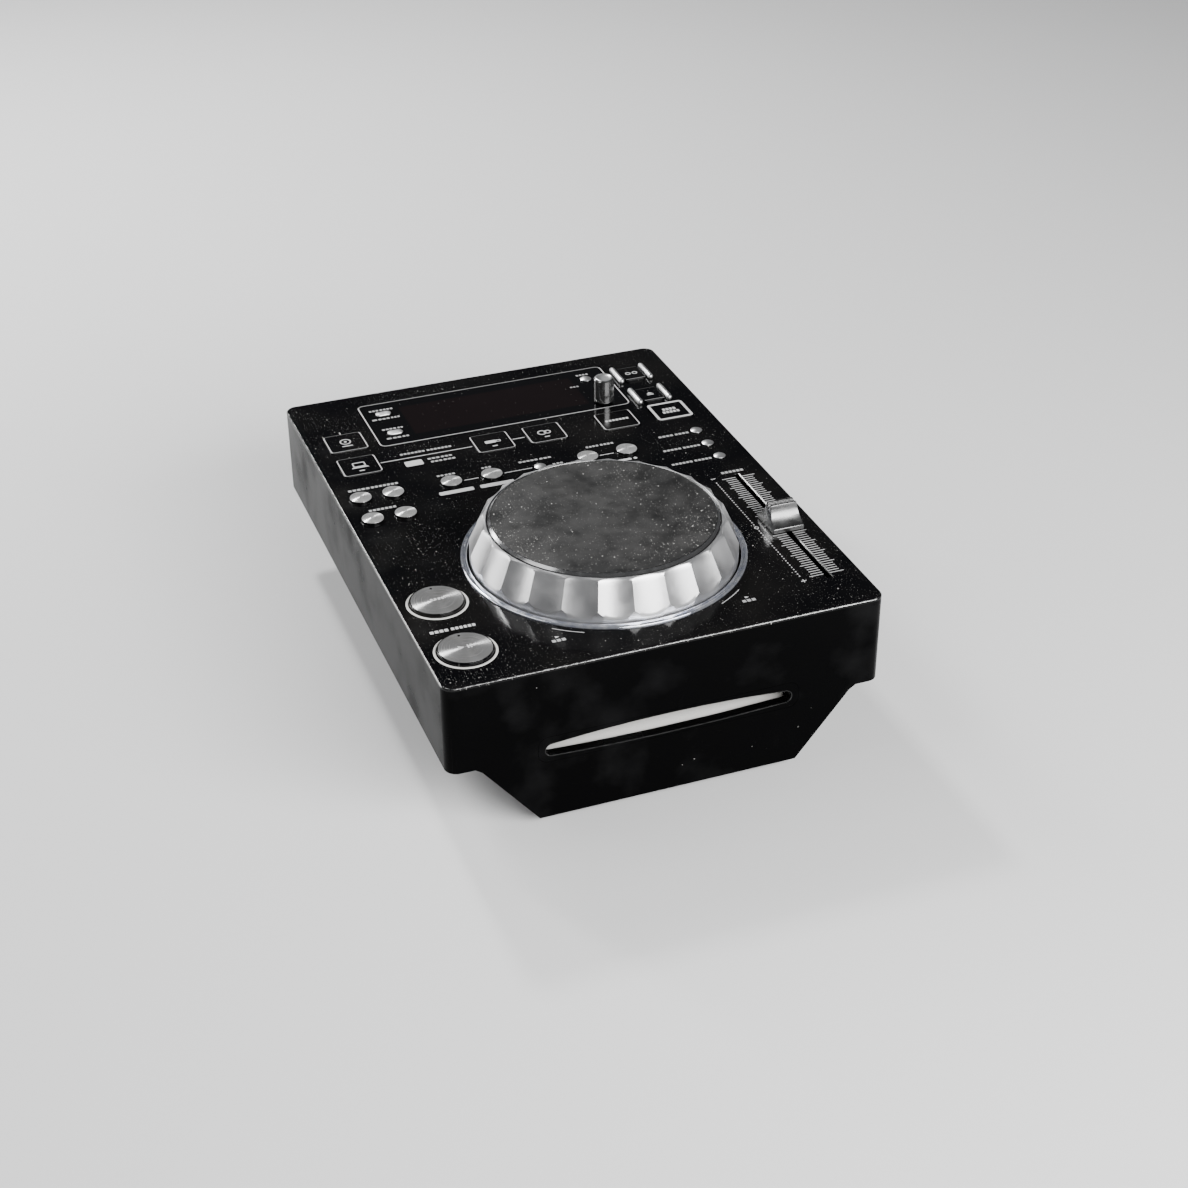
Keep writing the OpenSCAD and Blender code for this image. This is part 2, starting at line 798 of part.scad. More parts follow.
module rear_panel() {
    color("#3a3b3d")
    difference() {
        along_y(rear_face - rear_t, rear_face)
            translate([0, rear_mid_z])
                square([recess_w + 2*wall, recess_z1 - recess_z0 + 2*wall], center = true);
        along_y(rear_face - rear_t - 1, rear_face + 1) {
            translate([inlet_x, rear_mid_z])
                square([22.4, 14.4], center = true);
            translate([rocker_x, rear_mid_z])
                square([15.4, 21.4], center = true);
            for (x = concat(phono_x, [control_x]))
                translate([x, rear_mid_z])
                    circle(r = 4.3);
            translate([data_b_x, rear_mid_z])
                square([12.4, 11.4], center = true);
            translate([data_a_x, rear_mid_z])
                square([14.8, 8.2], center = true);
        }
    }
}

module rubber_feet() {
    color("#232324")
        for (sx = [-1, 1], y = [front_y + foot_in, rear_y - foot_in])
            post([sx*foot_x, y], foot_r, 0, foot_h);
}

module case_screws() {
    color("#a8a8aa")
        for (sx = [-1, 1], y = screw_ys)
            difference() {
                union() {
                    post([sx*screw_x, y], screw_r, skirt_z - eps, skirt_z + screw_len);
                    post([sx*screw_x, y], head_r, skirt_z - 1.8, skirt_z);
                }
                translate([sx*screw_x, y, skirt_z - 1.8]) {
                    cube([3, 0.8, 1.6], center = true);
                    cube([0.8, 3, 1.6], center = true);
                }
            }
}

// Outline of the mouth: two shallow arcs that meet in round ends, drawn in X and Z
module mouth_outline() {
    end_top = mouth_z1 - mouth_top_r + sqrt(mouth_top_r*mouth_top_r - mouth_mid_x*mouth_mid_x);
    end_low = mouth_z0 + mouth_low_r - sqrt(mouth_low_r*mouth_low_r - mouth_mid_x*mouth_mid_x);
    end_r = (end_top - end_low)/2;
    intersection() {
        translate([0, mouth_z1 - mouth_top_r])
            circle(r = mouth_top_r, $fn = 720);
        translate([0, mouth_z0 + mouth_low_r])
            circle(r = mouth_low_r, $fn = 720);
        translate([0, disc_z])
            square([2*mouth_mid_x, 4*mouth_h], center = true);
    }
    for (sx = [-1, 1])
        translate([sx*mouth_mid_x, end_low + end_r])
            circle(r = end_r);
}

module slot_bezel() {
    ring_gap_x = 0.15;
    lip_y1 = front_y + lip_d;
    color("#0d0d0e")
    difference() {
        union() {
            along_y(front_y, lip_y1)
                translate([0, (bezel_z0 + bezel_z1)/2])
                    rounded_rect(2*(bezel_x - ring_gap_x), bezel_z1 - bezel_z0 - 2*ring_gap_x, 4.8);
            along_y(front_y + wall, front_y + wall + 1.5)
                translate([0, (bezel_z0 + bezel_z1)/2])
                    square([2*(bezel_x + bezel_flange), bezel_z1 - bezel_z0 + 2*bezel_flange],
                        center = true);
            slab([-guide_x - guide_t, guide_x + guide_t], [front_y + wall, guide_y1],
                [guide_z0 - guide_t, guide_z1 + guide_t]);
        }
        along_y(front_y - 1, lip_y1 + eps)
            mouth_outline();
        slab([-guide_x, guide_x], [lip_y1, guide_y1 + 1], [guide_z0, guide_z1]);
    }
}

module slot_felt() {
    felt_x = guide_x - 0.3;
    felt_y = [front_y + lip_d + 0.1, guide_y1];
    color("#8d8c8a") {
        slab([-felt_x, felt_x], felt_y, [guide_z0, guide_z0 + felt_t]);
        slab([-felt_x, felt_x], felt_y, [guide_z1 - felt_t, guide_z1]);
    }
}

module display_window() {
    color("#070708")
    difference() {
        translate(window_at)
            upwards(deck_top, panel_z)
                rounded_rect(window_w - 2*window_gap, window_d - 2*window_gap, window_round);
        key_holes(deck_top - 1, panel_z + 1);
        post(select_at, shaft_r + 0.5, deck_top - 1, panel_z + 1);
    }
}

module button_guards() {
    bar_x = stop_w/2 + key_gap + guard_r + 0.4;
    bar_y = guard_len/2 - guard_r;
    color("#dcdcde")
        for (at = stop_keys, sx = [-1, 1])
            intersection() {
                translate([at[0] + sx*bar_x, at[1], panel_z + guard_r*0.8]) {
                    rotate([90, 0, 0])
                        cylinder(r = guard_r, h = 2*bar_y, center = true);
                    for (sy = [-1, 1])
                        translate([0, sy*bar_y, 0])
                            sphere(r = guard_r);
                }
                slab([at[0] - 30, at[0] + 30], [at[1] - 30, at[1] + 30], [panel_z, panel_z + 10]);
            }
}

module ring_lights() {
    color("#e9e7e0")
        for (at = play_keys)
            translate(at)
                ring(ring_out_r, ring_in_r, deck_top, panel_z + ring_rise);
}

// ---------- electronics ----------

module display_module() {
    board_w = glass_w + 3;
    color("#14202a") {
        translate(window_at)
            upwards(module_board_z + module_board_t, deck_top - 0.2)
                square([glass_w, glass_d], center = true);
        translate(window_at)
            upwards(module_board_z, module_board_z + module_board_t)
                square([board_w, glass_d + 8], center = true);
        for (sx = [-1, 1], sy = [-1, 1])
            post([sx*(board_w/2 - 4), window_at[1] + sy*(glass_d/2 + 3.1)], 0.9,
                module_board_z + module_board_t, deck_bot);
    }
}

module switch(at) {
    post(at, 1.75, board_top + switch_h - 1, switch_top);
    slab([at[0] - 3, at[0] + 3], [at[1] - 3, at[1] + 3], [board_top, board_top + switch_h - 1 + eps]);
}

module panel_board() {
    board_x = side_x - wall - 1.5;
    color("#1f5a3a") {
        difference() {
            slab([-board_x, board_x], [front_y + wall + 1.5, rear_face - rear_t - 1], [board_bot, board_top]);
            post([0, jog_y], dial_r - 3.7, board_bot - 1, board_top + 1);
            slab([tempo_x - fader_w/2 - 1, tempo_x + fader_w/2 + 1],
                [tempo_y - slot_len/2 - fader_end - 1, tempo_y + slot_len/2 + fader_end + 1],
                [board_bot - 1, board_top + 1]);
            translate(window_at)
                upwards(board_bot - 1, board_top + 1)
                    square([glass_w + 4, glass_d + 9], center = true);
        }
        for (at = concat(round_keys, mode_keys, square_keys, stop_keys, oblong_keys, play_keys))
            switch(at);
        encoder_body();
        jog_sensor();
    }
}

// Housing of the rotary encoder, open upwards for its rotor
module encoder_body() {
    difference() {
        slab([select_at[0] - encoder_w/2, select_at[0] + encoder_w/2],
            [select_at[1] - encoder_w/2, select_at[1] + encoder_w/2], [board_top, encoder_z1]);
        post(select_at, 5 + run_gap, board_top + 1, encoder_z1 - 1);
        post(select_at, shaft_r + run_gap, board_top - 1, encoder_z1 + 1);
    }
}

// Light barrier that straddles the slotted wheel of the jog dial
module jog_sensor() {
    y0 = jog_y + wheel_r - 6;
    difference() {
        slab([-5, 5], [y0, y0 + 8], [deck_top, wheel_z1 + 3]);
        slab([-6, 6], [y0 - 1, y0 + 6.8], [wheel_z1 - wheel_t - 1, wheel_z1 + 1]);
    }
}

module main_board() {
    board_w = main_x[1] - main_x[0];
    chips = [[0.3, 0.35, 22, 22], [0.68, 0.3, 14, 10], [0.68, 0.5, 14, 10], [0.3, 0.68, 12, 12]];
    chip_h = 2;
    strip_x = [10, 50];
    strip_y = [2, 7];
    strip_h = 6;
    color("#1c5236") {
        slab(main_x, [boards_y0, boards_y1], [boards_z, boards_z + board_t]);
        for (c = chips)
            translate([main_x[0] + c[0]*board_w, boards_y0 + c[1]*(boards_y1 - boards_y0),
                boards_z + board_t + chip_h/2])
                cube([c[2], c[3], chip_h], center = true);
        slab([main_x[0] + strip_x[0], main_x[0] + strip_x[1]],
            [boards_y0 + strip_y[0], boards_y0 + strip_y[1]], [boards_z + board_t, boards_z + board_t + strip_h]);
    }
}

module power_board() {
    top = boards_z + board_t;
    mid_x = (power_x[0] + power_x[1])/2;
    core_x = 16;
    core_y = [10, 42];
    core_h = 28;
    can_y = [39, 25];
    can_x = 10;
    can_r = 5;
    can_h = 20;
    sink_x = [2, 16];
    sink_y = [43, 39];
    sink_h = 18;
    color("#8a6a3c") {
        slab(power_x, [boards_y0, boards_y1], [boards_z, top]);
        slab([mid_x - core_x, mid_x + core_x], [boards_y0 + core_y[0], boards_y0 + core_y[1]],
            [top, top + core_h]);
        for (y = can_y)
            post([mid_x - can_x, boards_y1 - y], can_r, top, top + can_h);
        slab([mid_x + sink_x[0], mid_x + sink_x[1]], [boards_y1 - sink_y[0], boards_y1 - sink_y[1]],
            [top, top + sink_h]);
    }
}

// Round socket with a sleeve that comes through the rear panel
module round_socket(x, sleeve_r, sleeve_len, bore_r, body_w) {
    difference() {
        union() {
            translate([x, 0, rear_mid_z])
                rotate([-90, 0, 0])
                    post([0, 0], sleeve_r, rear_face - rear_t - eps, rear_face + sleeve_len);
            slab([x - body_w/2, x + body_w/2], [rear_face - rear_t - socket_back, rear_face - rear_t],
                [rear_mid_z - body_w/2, rear_mid_z + body_w/2]);
        }
        translate([x, 0, rear_mid_z])
            rotate([-90, 0, 0])
                post([0, 0], bore_r, rear_face - rear_t - socket_back + 2, rear_face + sleeve_len + 1);
    }
}

module data_socket(x, w, h, tongue_w, tongue_h) {
    wall_t = 0.6;
    y0 = rear_face - rear_t - socket_back;
    y1 = rear_face + 1.2;
    z = [rear_mid_z - h/2, rear_mid_z + h/2];
    difference() {
        slab([x - w/2, x + w/2], [y0, y1], z);
        slab([x - w/2 + wall_t, x + w/2 - wall_t], [y0 + 1.5, y1 + 1], [z[0] + wall_t, z[1] - wall_t]);
    }
    slab([x - tongue_w/2, x + tongue_w/2], [y0 + 1.5 - eps, y1 - 1],
        [rear_mid_z - tongue_h/2, rear_mid_z + tongue_h/2]);
}

module mains_inlet() {
    y0 = rear_face - rear_t - socket_back - 3;
    y1 = rear_face + 1.5;
    pin_r = 1.2;
    pin_x = 4.4;
    difference() {
        union() {
            slab([inlet_x - 11, inlet_x + 11], [y0, y1], [rear_mid_z - 7, rear_mid_z + 7]);
            slab([inlet_x - 13, inlet_x + 13], [rear_face, y1], [rear_mid_z - 9, rear_mid_z + 9]);
        }
        along_y(y0 + 2, y1 + 1)
            translate([inlet_x, rear_mid_z])
                rounded_rect(16, 9, 4);
        for (sx = [-1, 1])
            translate([inlet_x + sx*pin_x, 0, rear_mid_z])
                rotate([-90, 0, 0])
                    post([0, 0], pin_r + press_gap, y0 - 1, y0 + 3);
    }
    for (sx = [-1, 1])
        translate([inlet_x + sx*pin_x, 0, rear_mid_z])
            rotate([-90, 0, 0])
                post([0, 0], pin_r, y0 - 3, y1 - 1);
}

module rocker_housing() {
    y0 = rear_face - rear_t - socket_back;
    y1 = rear_face + 1.2;
    difference() {
        union() {
            slab([rocker_x - 7.5, rocker_x + 7.5], [y0, y1], [rear_mid_z - 10.5, rear_mid_z + 10.5]);
            slab([rocker_x - 9, rocker_x + 9], [rear_face, y1], [rear_mid_z - 12.5, rear_mid_z + 12.5]);
        }
        slab([rocker_x - 5.9, rocker_x + 5.9], [y0 + 2, y1 + 1], [rear_mid_z - 8.8, rear_mid_z + 8.8]);
        translate([rocker_x - 7, rocker_y, rear_mid_z])
            rotate([0, 90, 0])
                cylinder(r = 1 + run_gap, h = 14);
    }
}

module rear_sockets() {
    color("#2b2b2d") {
        mains_inlet();
        rocker_housing();
        for (x = phono_x)
            round_socket(x, 4.15, 8.4, 1.7, 12);
        round_socket(control_x, 4, 1.6, 1.8, 9);
        data_socket(data_b_x, 12, 11, 5.6, 3.2);
        data_socket(data_a_x, 14.4, 7.8, 11.2, 1.8);
    }
}

module power_rocker() {
    color("#1a1a1b")
        translate([rocker_x, rocker_y, rear_mid_z])
            rotate([-rocker_tilt, 0, 0]) {
                along_x(-5.6, 5.6)
                    polygon([[-1.5, -8], [2.3, -8], [1, 0], [2.3, 8], [-1.5, 8]]);
                translate([-6.8, 0, 0])
                    rotate([0, 90, 0])
                        cylinder(r = 1, h = 13.6);
            }
}

// ---------- jog dial ----------

module jog_collar() {
    color("#aeb4bd")
        translate([0, jog_y, 0])
            difference() {
                union() {
                    post([0, 0], collar_neck_r, deck_top, panel_z + eps);
                    post([0, 0], collar_r, panel_z, panel_z + collar_h);
                }
                post([0, 0], collar_in_r, deck_top - 1, panel_z + collar_h + 1);
            }
}

module jog_spindle() {
    clip_z = hub_z1 + 0.2;
    color("#b5b7ba")
        translate([0, jog_y, 0]) {
            difference() {
                union() {
                    post([0, 0], spindle_flange_r, deck_top, deck_top + 2.5);
                    post([0, 0], jog_pin_r, deck_top - 1, clip_z + 1);
                }
                ring(jog_pin_r + 1, jog_pin_r - 0.6, clip_z, clip_z + 0.6);
            }
            ring(jog_pin_r + 1.4, jog_pin_r - 0.5, clip_z + 0.05, clip_z + 0.55);
        }
}

module jog_dial() {
    cutter_len = 80;
    color("#cfcfd1")
        translate([0, jog_y, 0])
            difference() {
                translate([0, 0, dial_z0])
                    cylinder(r = dial_r, h = dial_z1 - dial_z0, $fn = 128);
                for (i = [0:flutes - 1])
                    rotate([0, 0, flute_turn + i*360/flutes])
                        translate([dial_r, 0, flute_z0])
                            rotate([0, -flute_lean, 0])
                                translate([flute_r, 0, -cutter_len/2])
                                    cylinder(r = flute_r, h = cutter_len, $fn = 96);
                post([0, 0], recess_r, web_z1, dial_z1 + 1);
                difference() {
                    post([0, 0], skirt_in_r, dial_z0 - 1, web_z0);
                    post([0, 0], hub_step_r, wheel_z1, web_z0 + 1);
                    post([0, 0], hub_r, hub_z0, web_z0 + 1);
                }
                post([0, 0], jog_pin_r + run_gap, hub_z0 - 1, web_z1 + 1);
            }
    color("#cfcfd1")
        translate([0, jog_y, 0])
            ring(hub_r - 1, jog_pin_r + run_gap, web_z1, hub_z1);
}

module jog_encoder_wheel() {
    slits = 48;
    color("#3b3b3c")
        translate([0, jog_y, 0])
            difference() {
                ring(wheel_r, hub_r, wheel_z1 - wheel_t, wheel_z1);
                for (i = [0:slits - 1])
                    rotate([0, 0, i*360/slits])
                        slab([wheel_r - 4.5, wheel_r - 1.5], [-0.7, 0.7], [wheel_z1 - 2, wheel_z1 + 1]);
            }
}

module jog_touch_ring() {
    top = jog_under - jog_press - 0.1;
    color("#4a4a4c")
        translate([0, jog_y, 0])
            ring(jog_plate_r - 4, jog_plate_r - 10, web_z1, top);
}

module jog_plate() {
    sleeve_z0 = web_z1 + jog_press + 0.2;
    color("#5a5a5b")
        translate([0, jog_y, 0]) {
            translate([0, 0, jog_under])
                rotate_extrude($fn = 128)
                    polygon([[0, 0], [jog_plate_r, 0], [jog_plate_r, jog_plate_t - jog_bevel_h],
                        [jog_plate_r - jog_bevel_w, jog_plate_t], [0, jog_plate_t]]);
            ring(hub_r + 2, hub_r - 1 + 0.1, sleeve_z0, jog_under + eps);
        }
}

// ---------- tempo fader and rotary knob ----------

module tempo_fader() {
    half_len = slot_len/2 + fader_end;
    x = [tempo_x - fader_w/2, tempo_x + fader_w/2];
    y = [tempo_y - half_len, tempo_y + half_len];
    color("#9a9b9d")
    difference() {
        slab(x, y, [deck_bot - fader_h, deck_bot]);
        slab([x[0] + fader_wall, x[1] - fader_wall], [y[0] + fader_wall, y[1] - fader_wall],
            [deck_bot - fader_h + fader_wall, deck_bot - fader_wall]);
        slab([tempo_x - slot_w/2, tempo_x + slot_w/2], [tempo_y - slot_len/2, tempo_y + slot_len/2],
            [deck_bot - fader_wall - 1, deck_bot + 1]);
    }
}

module tempo_knob() {
    carriage_z0 = deck_bot - fader_h + fader_wall + 0.3;
    carriage_x = fader_w/2 - fader_wall - 0.3;
    blade_socket = 3;
    color("#c9c9cb")
    translate([tempo_x, tempo_y, 0]) {
        translate([0, 0, knob_z0])
            difference() {
                intersection() {
                    along_x(-knob_w/2, knob_w/2)
                        polygon([[-knob_len/2, 0], [knob_len/2, 0], [knob_len/2, knob_lip],
                            [knob_ridge/2, knob_h], [-knob_ridge/2, knob_h], [-knob_len/2, knob_lip]]);
                    along_y(-knob_len/2, knob_len/2)
                        polygon([[-knob_w/2, 0], [knob_w/2, 0], [knob_w/2, knob_lip*0.5],
                            [knob_top_w/2, knob_h], [-knob_top_w/2, knob_h], [-knob_w/2, knob_lip*0.5]]);
                }
                for (sy = [-1, 1])
                    translate([-knob_w, sy*hollow_at[0], hollow_at[1]])
                        rotate([0, 90, 0])
                            cylinder(r = knob_hollow, h = 2*knob_w, $fn = 96);
                slab([-knob_w, knob_w], [-knob_ridge/2 + 1.3, knob_ridge/2 - 1.3],
                    [knob_h - knob_groove, knob_h + 1]);
                slab([-blade_w/2, blade_w/2], [-blade_len/2, blade_len/2], [-1, blade_socket]);
            }
        slab([-blade_w/2, blade_w/2], [-blade_len/2, blade_len/2],
            [carriage_z0 + 4.9, knob_z0 + blade_socket]);
        slab([-carriage_x, carriage_x], [-7, 7], [carriage_z0, carriage_z0 + 5]);
    }
}

module encoder_rotor() {
    color("#c8b27a")
        translate(select_at)
            difference() {
                ring(5, shaft_r + run_gap, board_top + 1.3, encoder_z1 - 1.3);
                slab([shaft_r - 1, 5], [-0.4, 0.4], [encoder_z1 - 2, encoder_z1]);
            }
}

module select_knob() {
    color("#cacacc")
        translate(select_at) {
            translate([0, 0, select_z0])
                rotate_extrude()
                    polygon([[0, select_len - select_cap], [shaft_r + press_gap, select_len - select_cap],
                        [shaft_r + press_gap, 0], [select_r, 0], [select_r, select_len - select_chamfer],
                        [select_r - select_chamfer, select_len], [0, select_len]]);
            post([0, 0], shaft_r, shaft_z0, select_z0 + select_len - select_cap - press_gap);
        }
}

// ---------- disc drive ----------

module rod_lugs() {
    for (sx = [-1, 1], y = [rod_y0, rod_y1 - lug_t])
        slab([sx*rod_x - 3.5, sx*rod_x + 3.5], [y, y + lug_t], [plate_top - eps, rod_z + 3.5]);
}

module drive_chassis() {
    pin_x = arm_half + 5;
    bar_y = [arm_y - 6, chassis_y1];
    color("#b9bcbf") {
        difference() {
            union() {
                slab([-chassis_x, chassis_x], [chassis_y0, chassis_y1], [chassis_z, plate_top]);
                for (sx = [-1, 1])
                    slab([sx*(chassis_x - sheet_t/2) - sheet_t/2, sx*(chassis_x - sheet_t/2) + sheet_t/2],
                        [chassis_y0, chassis_y1], [chassis_z, chassis_top]);
                slab([-chassis_x, chassis_x], [chassis_y0, chassis_y0 + 11],
                    [front_bar_z, front_bar_z + sheet_t]);
                slab([-chassis_x, chassis_x], bar_y, [chassis_top - sheet_t, chassis_top]);
                for (sx = [-1, 1])
                    slab([sx*(arm_half + 3) - 1.5, sx*(arm_half + 3) + 1.5], [arm_y - 5, arm_y + 5],
                        [pivot_z - 4, chassis_top - sheet_t + eps]);
                rod_lugs();
            }
            translate([-chassis_x - 1, roller_y, roller_z])
                rotate([0, 90, 0])
                    cylinder(r = rod_r + run_gap, h = 2*chassis_x + 2);
            translate([-pin_x - 1, arm_y, pivot_z])
                rotate([0, 90, 0])
                    cylinder(r = pivot_r + 0.02, h = 2*pin_x + 2);
            for (sx = [-1, 1])
                translate([sx*rod_x, 0, rod_z])
                    rotate([-90, 0, 0])
                        post([0, 0], rod_r + 0.02, rod_y0 - 1, rod_y1 + 1);
            post([gear_x, gear_y], rod_r + 0.3, chassis_z - 1, plate_top + 1);
        }
        translate([-pin_x, arm_y, pivot_z])
            rotate([0, 90, 0])
                cylinder(r = pivot_r, h = 2*pin_x);
        for (sx = [-1, 1])
            translate([sx*rod_x, 0, rod_z])
                rotate([-90, 0, 0])
                    post([0, 0], rod_r, rod_y0, rod_y1);
    }
}

module drive_motors() {
    color("#8f9194") {
        difference() {
            post([0, spindle_y], motor_r, plate_top, motor_top);
            post([0, spindle_y], spindle_r + run_gap, plate_top + 1, motor_top + 1);
        }
        difference() {
            post([gear_x, gear_y], can_r, chassis_z - can_len, chassis_z);
            post([gear_x, gear_y], rod_r + run_gap, chassis_z - can_len + 2, chassis_z + 1);
        }
        difference() {
            translate([chassis_x, roller_y, roller_z])
                rotate([0, 90, 0])
                    cylinder(r = roller_can_r, h = roller_can_len);
            translate([chassis_x - 1, roller_y, roller_z])
                rotate([0, 90, 0])
                    cylinder(r = rod_r + run_gap, h = roller_can_len);
        }
    }
}

module spindle_hub() {
    color("#4b4d50")
        translate([0, spindle_y, 0]) {
            post([0, 0], turn_r, disc_z - hub_t, disc_z);
            translate([0, 0, disc_z - eps])
                cylinder(r1 = cone_r, r2 = cone_r - 1.4, h = cone_h);
            post([0, 0], spindle_r, plate_top + 2, disc_z - hub_t + eps);
        }
}

// Puts what belongs to the clamp arm at its lifted angle
module lifted() {
    translate([0, arm_y, pivot_z])
        rotate([-clamp_lift, 0, 0])
            translate([0, -arm_y, -pivot_z])
                children();
}

module clamp_arm() {
    color("#a9acb0")
        lifted()
            difference() {
                union() {
                    slab([-arm_half, arm_half], [spindle_y - arm_half, arm_y + 2], [arm_z, arm_z + arm_t]);
                    translate([-arm_half, arm_y, pivot_z])
                        rotate([0, 90, 0])
                            cylinder(r = 3.2, h = 2*arm_half);
                }
                post([0, spindle_y], puck_neck_r + 1, arm_z - 1, arm_z + arm_t + 1);
                translate([-arm_half - 1, arm_y, pivot_z])
                    rotate([0, 90, 0])
                        cylinder(r = pivot_r + run_gap, h = 2*arm_half + 2);
            }
}

module clamp_puck() {
    color("#77797c")
        lifted()
            translate([0, spindle_y, 0])
                difference() {
                    union() {
                        post([0, 0], puck_r, puck_z0, puck_z1);
                        post([0, 0], puck_neck_r, puck_z1 - eps, puck_top_z0 + eps);
                        post([0, 0], puck_r - 2, puck_top_z0, puck_top_z0 + 1.5);
                    }
                    post([0, 0], cone_r + 0.8, puck_z0 - 1, disc_z + cone_h + 1.2);
                }
}

module tooth(root, tip, w_root, w_tip) {
    polygon([[root, -w_root/2], [tip, -w_tip/2], [tip, w_tip/2], [root, w_root/2]]);
}

module sled_rack() {
    y0 = gear_y - sled_travel - 5;
    y1 = gear_y + 5;
    first = ceil((y0 - gear_y)/tooth_step - 0.5);
    last = floor((y1 - gear_y)/tooth_step - 0.5);
    slab([sled_x - eps, rack_x - tooth_m], [y0, y1], [gear_z0 + 0.5, gear_z0 + gear_t - 0.5]);
    for (i = [first:last])
        translate([0, gear_y + (i + 0.5)*tooth_step, 0])
            upwards(gear_z0 + 0.5, gear_z0 + gear_t - 0.5)
                tooth(rack_x - tooth_m - eps, rack_x + 0.8*tooth_m, 2*tooth_w - tooth_tip, tooth_tip);
}

module pickup_sled() {
    lens_r = 2.2;
    color("#2e3033") {
        difference() {
            slab([-sled_x, sled_x], [lens_y - sled_half, lens_y + sled_half], [sled_z0, sled_z1]);
            for (sx = [-1, 1])
                translate([sx*rod_x, 0, rod_z])
                    rotate([-90, 0, 0])
                        post([0, 0], rod_r + run_gap, lens_y - sled_half - 1, lens_y + sled_half + 1);
            post([0, lens_y], lens_r, sled_z1 - 3, sled_z1 + 1);
        }
        sled_rack();
    }
    color("#5a78a0")
        translate([0, lens_y, sled_z1 - 3]) {
            post([0, 0], lens_r - 0.1, 0, 2);
            translate([0, 0, 2 - eps])
                dome(lens_r - 0.1, 0.7);
        }
}

module sled_gear() {
    root_r = gear_pitch_r - 1.2*tooth_m;
    tip_r = gear_pitch_r + 0.8*tooth_m;
    color("#e2ddd0")
        translate([gear_x, gear_y, 0]) {
            upwards(gear_z0, gear_z0 + gear_t) {
                circle(r = root_r);
                for (i = [0:gear_teeth - 1])
                    rotate(180 + i*360/gear_teeth)
                        tooth(root_r - 0.3, tip_r, 2*tooth_w - tooth_tip, tooth_tip);
            }
            post([0, 0], 3, plate_top + 0.3, gear_z0 + eps);
            post([0, 0], rod_r, chassis_z - can_len + 2.5, plate_top + 1);
        }
}

module feed_roller() {
    shaft_x = chassis_x + roller_can_len - 1.5;
    roll_x = disc_r + 2;
    color("#1d1d1e")
        translate([0, roller_y, roller_z])
            rotate([0, 90, 0]) {
                rotate_extrude()
                    polygon([[0, -roll_x], [roller_r, -roll_x], [roller_r - 0.6, -4],
                        [roller_r - 0.6, 4], [roller_r, roll_x], [0, roll_x]]);
                translate([0, 0, -chassis_x - 1])
                    cylinder(r = rod_r, h = chassis_x + 1 + shaft_x);
            }
}

// ---------- the keys, one by one ----------

module source_disc_key() square_key(source_disc_at);
module source_computer_key() square_key(source_computer_at);
module source_stick_key() square_key(source_stick_at);
module source_link_key() square_key(source_link_at);
module playlist_key() square_key(playlist_at);
module tempo_lock_key() square_key(lock_at);
module time_key() oblong_key(time_at);
module text_key() oblong_key(text_at);
module menu_key() mode_key(menu_at);
module stick_stop_key() stop_key(stop_at);
module eject_key() stop_key(eject_at);
module jog_mode_key() mode_key(jog_mode_at);
module tempo_range_key() mode_key(range_at);
module master_tempo_key() mode_key(master_at);
module track_back_key() silver_key(track_back_at);
module track_next_key() silver_key(track_next_at);
module search_back_key() silver_key(search_back_at);
module search_next_key() silver_key(search_next_at);
module loop_in_key() silver_key(loop_in_at);
module loop_out_key() silver_key(loop_out_at);
module loop_exit_key() mode_key(loop_exit_at);
module beat_half_key() silver_key(half_at);
module beat_double_key() silver_key(double_at);
module cue_key() big_key(cue_at);
module play_key() big_key(play_at);

top_plate();
upper_cabinet();
lower_cabinet();
rear_panel();
rubber_feet();
case_screws();
slot_bezel();
slot_felt();
display_window();
button_guards();
ring_lights();
display_module();
panel_board();
main_board();
power_board();
rear_sockets();
power_rocker();
jog_collar();
jog_spindle();
jog_dial();
jog_encoder_wheel();
jog_touch_ring();
jog_plate();
tempo_fader();
tempo_knob();
encoder_rotor();
select_knob();
drive_chassis();
drive_motors();
spindle_hub();
clamp_arm();
clamp_puck();
pickup_sled();
sled_gear();
feed_roller();
source_disc_key();
source_computer_key();
source_stick_key();
source_link_key();
time_key();
text_key();
menu_key();
stick_stop_key();
eject_key();
tempo_lock_key();
playlist_key();
jog_mode_key();
tempo_range_key();
master_tempo_key();
track_back_key();
track_next_key();
search_back_key();
search_next_key();
loop_in_key();
loop_out_key();
loop_exit_key();
beat_half_key();
beat_double_key();
cue_key();
play_key();
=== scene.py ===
# %% [markdown]
# # A tabletop disc player with a jog dial
#
# The frame already holds every piece of the player at its real size. This lesson dresses it: each cell
# takes one piece or one finish, says what it is on the real player, and makes it. All lengths below are
# in millimetres and are turned into metres at the last moment, because a panel designer thinks in
# millimetres and Blender's materials and lights work best in metres.

# %% Load the frame
import math

import bmesh
import bpy
from mathutils import Matrix, Vector


